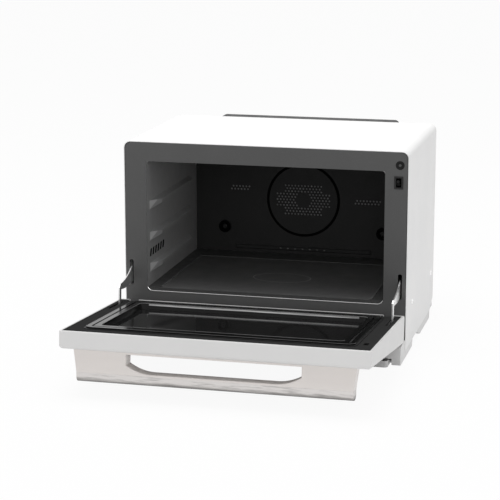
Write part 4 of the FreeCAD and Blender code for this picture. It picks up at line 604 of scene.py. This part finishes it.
def make_mouth_highlight_bead():
    """Bright steel bead along the bottom of the chamber mouth, a painted highlight on its rolled edge, which
    ends in the rounded corners.
    """
    right = []
    for degrees in MOUTH_BEAD_ANGLES:
        angle = math.radians(degrees)
        x = MOUTH_HALF - MOUTH_CORNER * (1 - math.cos(angle))
        z = MOUTH_LOW + MOUTH_CORNER * (1 - math.sin(angle))
        right.append((x, z))
    left = [(-x, z) for x, z in reversed(right)]
    path = [body_point(x, MOUTH_BEAD_SINK, z) for x, z in right + left]
    shape = bmesh.new()
    add_bead(shape, path, Vector((0, 1, 0)), MOUTH_BEAD)
    # painted highlight: bright steel where the mouth's bottom edge catches the light
    add_piece(shape, "mouth_highlight_bead", BRIGHT, "oven")


# Back wall: the fan cover, the two bosses and the holes

BOSS_X = 151.0
BOSS_Z = 146.4
BOSS_RISE = 4.0
BACK_Y = (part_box("chamber_back")[0].y - FRONT_Y) / MM + BOSS_RISE
GROOVE_SHADE_RADII = (64.7, 69.9)
GROOVE_SHADE_HEIGHTS = (-0.8, 0.3)
BOSS_SHADE_RADII = (4.8, 11.4)
BOSS_SHADE_HEIGHTS = (0.05, 0.8)
BOSS_SCREW = (4.2, 2.6)
BOSS_SCREW_RISE = 2.0


def make_back_wall_details():
    """Black ring in the groove of the fan cover and a near-black ring on each boss, both painted shade, and
    a screw on each boss.
    """
    # painted shade: black ring laid in the groove round the fan cover
    groove_shade = bmesh.new()
    add_ring(groove_shade, front_axes(0, BACK_Y, FAN_Z), GROOVE_SHADE_RADII, GROOVE_SHADE_HEIGHTS, steps=64)
    add_piece(groove_shade, "fan_cover_groove_shade", SHADE_BLACK, "oven")
    # painted shade: near-black ring over each boss
    shade_rings = bmesh.new()
    screws = bmesh.new()
    for x in (-BOSS_X, BOSS_X):
        crown = front_axes(x, BACK_Y - BOSS_RISE, BOSS_Z)
        add_ring(shade_rings, crown, BOSS_SHADE_RADII, BOSS_SHADE_HEIGHTS, steps=32)
        add_screw(screws, front_axes(x, BACK_Y - BOSS_SCREW_RISE, BOSS_Z), BOSS_SCREW)
    add_piece(shade_rings, "boss_shade_rings", SHADE_BLACK, "oven")
    add_piece(screws, "boss_screws", REAR_COATING, "oven")


HOLE_LIGHT_Y = BACK_Y + 1.4
HOLE_LIGHT_RADII = (13.0, 56.0)
HOLE_LIGHT_HEIGHTS = (-0.3, 0.3)
PATCH_Y = BACK_Y + 1.3
PATCH_THICK = 0.4

# Middle, width and height of the sheets behind the left patch, the right patch and the low rib's slots
PATCHES = [(-122.0, 221.7, 44.0, 14.0), (122.0, 203.7, 56.0, 14.0), (-1.0, 109.0, 94.0, 5.0)]


def make_hole_light_sheets():
    """Grey sheets close behind the holes of the fan cover and of the back wall: painted light seen through
    the holes.
    """
    # painted light: grey sheets make the holes look lit from behind
    hole_light = bmesh.new()
    add_ring(hole_light, front_axes(0, HOLE_LIGHT_Y, FAN_Z), HOLE_LIGHT_RADII, HOLE_LIGHT_HEIGHTS, steps=40)
    add_piece(hole_light, "fan_hole_light", HOLE_LIGHT_GREY, "oven")
    sheets = bmesh.new()
    for x, z, width, height in PATCHES:
        add_bar(sheets, front_axes(x, PATCH_Y, z), (width, height, PATCH_THICK), rounding=0.1)
    add_piece(sheets, "patch_hole_light", HOLE_LIGHT_GREY, "oven")


# Side walls and floor of the chamber

VENT_COUNT = 6
VENT_FIRST_Y = 22.5
VENT_PITCH = 15.0
VENT_Z = 157.0
VENT_SHADE_SIZE = (0.5, 13.0, 7.5)
VENT_SLANT = 1 / 3
VENT_LEAN = Matrix(((1, 0, 0, 0), (0, 1, 0, 0), (0, -VENT_SLANT, 1, 0), (0, 0, 0, 1)))


def make_vent_shade_sheets():
    """Black sheets in the slanted vents of the left wall, painted shade inside the vents."""
    shape = bmesh.new()
    for number in range(VENT_COUNT):
        y = VENT_FIRST_Y + VENT_PITCH * number
        add_bar(shape, front_axes(-MOUTH_HALF, y, VENT_Z) @ VENT_LEAN, VENT_SHADE_SIZE, rounding=0.1)
    # painted shade: black sheets fill the vents
    add_piece(shape, "vent_shade_sheets", SHADE_BLACK, "oven")


SHELF_LEVELS = (131.0, 186.5, 242.0)
RAMP_START = Vector((MOUTH_HALF + 0.2, 18.0, 0))
RAMP_END = Vector((MOUTH_HALF - 5.6, 46.0, 0))
RAMP_HEIGHT = 16.0
RAMP_THICK = 0.3
RAMP_TIP_RISE = 4.6
RAMP_TIP_SHARE = 0.06


def make_shelf_ramps():
    """Front ramps of the shelf ribs, painted pale as a highlight where they face the front, and tapered to a
    raised tip.
    """
    shape = bmesh.new()
    for side in (-1, 1):
        mirrored = Vector((side, 1, 1))
        start = RAMP_START * mirrored
        run = RAMP_END * mirrored - start
        along = run.normalized()
        inward = side * Vector((0, 0, 1)).cross(along)
        block = Matrix.Diagonal((run.length, RAMP_HEIGHT, RAMP_THICK, 1.0))
        for level in SHELF_LEVELS:
            middle = body_point(*(start + run / 2 + Vector((0, 0, level))))
            ramp = axes(along, (0, 0, 1), inward, middle) @ block
            made = bmesh.ops.create_cube(shape, size=1.0, matrix=ramp)
            for vert in made["verts"]:
                if vert.co.y > middle.y:
                    vert.co.z = middle.z + RAMP_TIP_RISE * MM + (vert.co.z - middle.z) * RAMP_TIP_SHARE
            round_edges(shape, made["verts"], rounding=0.1)
    add_piece(shape, "shelf_ramps", PAINTED_HIGHLIGHT_GREY, "oven")


BUMPER_X = 232.3
BUMPER_Z = 333.0
STUD_OUT = 0.5
STUD = (2.3, 0.8)


def make_bumper_stud():
    """Head of the stud that holds the door bumper."""
    shape = bmesh.new()
    add_screw(shape, front_axes(BUMPER_X, -STUD_OUT, BUMPER_Z), STUD)
    add_piece(shape, "bumper_stud", DIM_HIGHLIGHT_AND_STUD_GREY, "oven")


MARK_X = 4.0
MARK_Y = 125.0
MARK_HALF = (51.5, 33.5)
MARK_LINE = (0.985, 1.015)
MARK_HEIGHTS = (0.01, 0.06)


def make_floor_mark():
    """Plain oval that shows where a dish goes: a thin ring, stretched to its half width and half depth."""
    shape = bmesh.new()
    oval = upright_axes(MARK_X, MARK_Y, PLATE_Z / MM) @ Matrix.Diagonal((*MARK_HALF, 1.0, 1.0))
    inner, outer = MARK_LINE
    low, high = MARK_HEIGHTS
    profile = [(inner, low), (outer, low), (outer, high), (inner, high)]
    add_turned(shape, oval, profile, closed=True, steps=72)
    add_piece(shape, "floor_mark", INK_FLOOR, "oven")


# Screws and rear corners of the casing

COVER_SCREW_Y = (60.0, 280.0)
COVER_SCREW_Z = 87.0
CROSS_LENGTH = 2.8
CROSS_WIDTH = 0.5
CROSS_THICK = 0.12
CROSS_OUT = 2.2
REAR_SCREWS = [(212, 118), (212, 316), (-212, 118), (-212, 316), (70, 82), (-70, 82)]
REAR_HEAD = (4.2, 2.0)
HOUSING_SCREWS = [(155, 116), (155, 334), (-155, 116), (-155, 334)]
HOUSING_HEAD = (4.2, 1.8)


def add_cross_shade(shape, matrix):
    """Black cross on a screw head, painted shade of its cross recess."""
    crown = matrix @ Matrix.Translation((0, 0, CROSS_OUT))
    add_bar(shape, crown, (CROSS_LENGTH, CROSS_WIDTH, CROSS_THICK), rounding=0.04)
    add_bar(shape, crown, (CROSS_WIDTH, CROSS_LENGTH, CROSS_THICK), rounding=0.04)


def make_casing_screws():
    """Black crosses of painted shade on the cover screws, and the screws of the rear panel and of the rear
    housing.
    """
    # painted shade: black crosses stand for the shade in the cover screws' cross recesses
    crosses = bmesh.new()
    for side in (-1, 1):
        for y in COVER_SCREW_Y:
            origin = body_point(side * SIDE_X / MM, y, COVER_SCREW_Z)
            add_cross_shade(crosses, axes((0, side, 0), (0, 0, 1), (side, 0, 0), origin))
    add_piece(crosses, "cover_screw_cross_shade", DEEP_BLACK, "oven")
    heads = bmesh.new()
    for x, z in REAR_SCREWS:
        add_screw(heads, rear_axes(x, z, REAR_Y), REAR_HEAD)
    add_piece(heads, "rear_screws", BRIGHT, "oven")
    black_heads = bmesh.new()
    for x, z in HOUSING_SCREWS:
        add_screw(black_heads, rear_axes(x, z, HOUSING_Y), HOUSING_HEAD)
    add_piece(black_heads, "housing_screws", DEEP_BLACK, "oven")


POST_X = 233.9
POST_Y = 316.5
POST_RADII = (9.8, 10.8)
POST_HEIGHTS = (17.3, 46.0)


def make_corner_posts():
    """Short rolled posts that close the rear corners of the base."""
    shape = bmesh.new()
    for x in (-POST_X, POST_X):
        add_ring(shape, upright_axes(x, POST_Y, 0), POST_RADII, POST_HEIGHTS, steps=48)
    add_piece(shape, "corner_posts", ZINC_SHEET, "oven")


# Inner side of the door: depth is from the hinge axis towards the chamber, and a span runs up the door

STRIP_DEPTH = 33.4
STRIP_UP = 43.1
STRIP_LEAN = math.radians(21.7)
STRIP_SIZE = (362.0, 0.3, 2.8)


def make_recess_strip():
    """Bare steel on the hinge-side wall of the door's recess."""
    shape = bmesh.new()
    lean = Matrix.Rotation(STRIP_LEAN, 4, "X")
    add_bar(shape, door_axes(STRIP_DEPTH, STRIP_UP) @ lean, STRIP_SIZE, rounding=0.1)
    add_piece(shape, "recess_strip", STREAKED, "door")


CREST = 35.8
RIDGE_HALF = 216.0
RIDGE_SPAN = (22.0, 276.0)
RIDGE_CORNER = 12.0
RECESS_HALF = 196.2
RECESS_SPAN = (41.8, 256.2)
RECESS_CORNER = 8.0
EDGE_BEAD = 0.45
CORNER_STEPS = 5


def corner_path(half, span, corner):
    """Points round a rectangle with rounded corners, from the top of its right side to that side's foot."""
    low, high = span
    centres = [(half - corner, high - corner), (corner - half, high - corner), (corner - half, low + corner),
               (half - corner, low + corner)]
    points = []
    for quarter, (x, up) in enumerate(centres):
        for step in range(CORNER_STEPS + 1):
            angle = math.radians(90 * (quarter + step / CORNER_STEPS))
            points.append((x + corner * math.cos(angle), up + corner * math.sin(angle)))
    return points


def make_ridge_highlights():
    """Light beads along the edges of the door's raised frame, painted highlights drawn on all sides but the
    right one.
    """
    for name, finish, path in (
            ("ridge_outer_highlight", DIM_HIGHLIGHT_AND_STUD_GREY, corner_path(RIDGE_HALF, RIDGE_SPAN, RIDGE_CORNER)),
            ("ridge_inner_highlight", HIGHLIGHT_GREY, corner_path(RECESS_HALF, RECESS_SPAN, RECESS_CORNER))):
        shape = bmesh.new()
        add_bead(shape, [door_point(x, CREST - EDGE_BEAD / 2, up) for x, up in path], DOOR_IN, EDGE_BEAD)
        add_piece(shape, name, finish, "door")


# Outer face of the door: display, and marks of the dial and the buttons

DISPLAY_X = middle_x("display_lens")
DISPLAY_OUT = 0.22
DIGIT_X = (-26.0, -10.0, 12.0, 28.0)
DIGIT_THICK = 0.1
FLAT_SEGMENT = (7.0, 1.5)
TALL_SEGMENT = (1.5, 6.2)
SEGMENTS = [(0, up, *FLAT_SEGMENT) for up in (8, 0, -8)]
SEGMENTS += [(across, up, *TALL_SEGMENT) for up in (4, -4) for across in (-4.4, 4.4)]
COLON_X = 1.0
COLON_UP = (-4, 4)
COLON_DOT = (1.6, 1.6)
PRINT_THICK = 0.08
PRINT_EDGE = 0.03


def make_display_digits():
    """Four unlit digits of seven segments each, with a colon between the pairs."""
    shape = bmesh.new()
    for x in DIGIT_X:
        for across, up, *size in SEGMENTS:
            spot = face_axes(DISPLAY_X + x + across, up, DISPLAY_OUT)
            add_bar(shape, spot, (*size, DIGIT_THICK), PRINT_EDGE)
    for up in COLON_UP:
        spot = face_axes(DISPLAY_X + COLON_X, up, DISPLAY_OUT)
        add_bar(shape, spot, (*COLON_DOT, DIGIT_THICK), PRINT_EDGE)
    add_piece(shape, "display_digits", INK_DIM, "door")


TICKS = 24
TICKS_TO_LONG = 6
TICK_START = 21.0
TICK_LONG = 4.0
TICK_SHORT = 2.4
TICK_WIDTH = 0.7
TICK_OUT = 0.02


def make_dial_ticks():
    """Ring of ticks round the dial, longer at each quarter turn."""
    shape = bmesh.new()
    centre = face_axes(DIAL_PLACE.x / MM, 0, TICK_OUT)
    for tick in range(TICKS):
        turn = Matrix.Rotation(2 * math.pi * tick / TICKS, 4, "Z")
        length = TICK_LONG if tick % TICKS_TO_LONG == 0 else TICK_SHORT
        outward = Matrix.Translation((0, TICK_START + length / 2, 0))
        add_bar(shape, centre @ turn @ outward, (TICK_WIDTH, length, PRINT_THICK), PRINT_EDGE)
    add_piece(shape, "dial_ticks", INK_PALE, "door")


BUTTONS = ["button_%d" % number for number in range(1, 5)]
BUTTON_OUT = 2.42
SIGN_BAR = (6.0, 1.2)
SIGN_RING = (2.0, 3.0)
SIGN_SQUARE = (4.4, 4.4)
SIGN_PLUS = [(5.4, 1.2), (1.2, 5.4)]


def make_button_marks():
    """One plain sign on each button: a bar, a ring, a square and a plus."""
    signs = [bmesh.new() for name in BUTTONS]
    spots = [face_axes(middle_x(name), 0, BUTTON_OUT) for name in BUTTONS]
    add_bar(signs[0], spots[0], (*SIGN_BAR, PRINT_THICK), PRINT_EDGE)
    add_ring(signs[1], spots[1], SIGN_RING, (-PRINT_THICK / 2, PRINT_THICK / 2), steps=24)
    add_bar(signs[2], spots[2], (*SIGN_SQUARE, PRINT_THICK), PRINT_EDGE)
    for size in SIGN_PLUS:
        add_bar(signs[3], spots[3], (*size, PRINT_THICK), PRINT_EDGE)
    for name, sign in zip(BUTTONS, signs):
        add_piece(sign, name + "_sign", DEEP_BLACK, name)


# Studio

def make_camera():
    """Camera at the photograph's viewing angle."""
    camera = bpy.data.objects.new("camera", bpy.data.cameras.new("camera"))
    bpy.context.scene.collection.objects.link(camera)
    azimuth = math.radians(CAMERA_AZIMUTH)
    elevation = math.radians(CAMERA_ELEVATION)
    back = Vector((math.sin(azimuth) * math.cos(elevation), -math.cos(azimuth) * math.cos(elevation),
                   math.sin(elevation)))
    camera.location = CAMERA_PLACE
    camera.rotation_mode = "QUATERNION"
    camera.rotation_quaternion = (-back).to_track_quat("-Z", "Y")
    camera.data.sensor_width = CAMERA_SENSOR
    camera.data.lens = CAMERA_LENS
    camera.data.clip_end = CAMERA_REACH
    bpy.context.scene.camera = camera


def direct_rays(owner):
    """1 for rays from the camera, from mirrors and from glass, and 0 for rays that carry light."""
    path = owner.node_tree.nodes.new("ShaderNodeLightPath")
    total = path.outputs["Is Camera Ray"]
    for name in ("Is Glossy Ray", "Is Transmission Ray"):
        either = add_node(owner, "ShaderNodeMath", {0: total, 1: path.outputs[name]}, operation="MAXIMUM")
        total = either.outputs[0]
    return total


def make_world():
    """Even white light, and a white background behind the oven."""
    world = bpy.data.worlds.new("studio")
    world.use_nodes = True
    world.node_tree.nodes.clear()
    light = add_node(world, "ShaderNodeBackground", {"Color": WHITE, "Strength": WORLD_LIGHT})
    white = add_node(world, "ShaderNodeBackground", {"Color": WHITE, "Strength": 1.0})
    mix = add_node(world, "ShaderNodeMixShader",
                   {0: direct_rays(world), 1: light.outputs[0], 2: white.outputs[0]})
    add_node(world, "ShaderNodeOutputWorld", {"Surface": mix.outputs[0]})
    bpy.context.scene.world = world


def make_floor():
    """Wide pale floor that keeps the oven's shadow and fades into the background."""
    shape = bmesh.new()
    bmesh.ops.create_grid(shape, x_segments=4, y_segments=4, size=FLOOR_HALF)
    mesh = bpy.data.meshes.new("floor")
    shape.to_mesh(mesh)
    shape.free()
    floor = bpy.data.objects.new("floor", mesh)
    bpy.context.scene.collection.objects.link(floor)
    finish = bpy.data.materials.new("studio_floor")
    finish.use_nodes = True
    finish.node_tree.nodes.clear()
    matt = add_node(finish, "ShaderNodeBsdfDiffuse", {"Color": FLOOR_COLOUR})
    glow = add_node(finish, "ShaderNodeEmission", {"Color": WHITE, "Strength": 1.0})
    share = add_node(finish, "ShaderNodeMath", {0: direct_rays(finish), 1: FLOOR_GLOW}, operation="MULTIPLY")
    mix = add_node(finish, "ShaderNodeMixShader",
                   {0: share.outputs[0], 1: matt.outputs[0], 2: glow.outputs[0]})
    add_node(finish, "ShaderNodeOutputMaterial", {"Surface": mix.outputs[0]})
    mesh.materials.append(finish)


def make_lamp(name, spot, aim, size, power):
    """Round soft lamp, turned to its aim."""
    lamp = bpy.data.objects.new(name, bpy.data.lights.new(name, "AREA"))
    lamp.data.shape = "DISK"
    lamp.data.size = size
    lamp.data.energy = power
    lamp.location = spot
    lamp.rotation_mode = "QUATERNION"
    lamp.rotation_quaternion = (Vector(aim) - Vector(spot)).to_track_quat("-Z", "Y")
    bpy.context.scene.collection.objects.link(lamp)


bpy.context.scene.view_settings.view_transform = "Standard"
make_camera()
make_world()
make_floor()
for lamp in LAMPS:
    make_lamp(*lamp)
dress_frame()
make_mouth_highlight_bead()
make_back_wall_details()
make_hole_light_sheets()
make_vent_shade_sheets()
make_shelf_ramps()
make_bumper_stud()
make_floor_mark()
make_casing_screws()
make_corner_posts()
make_recess_strip()
make_ridge_highlights()
make_display_digits()
make_dial_ticks()
make_button_marks()
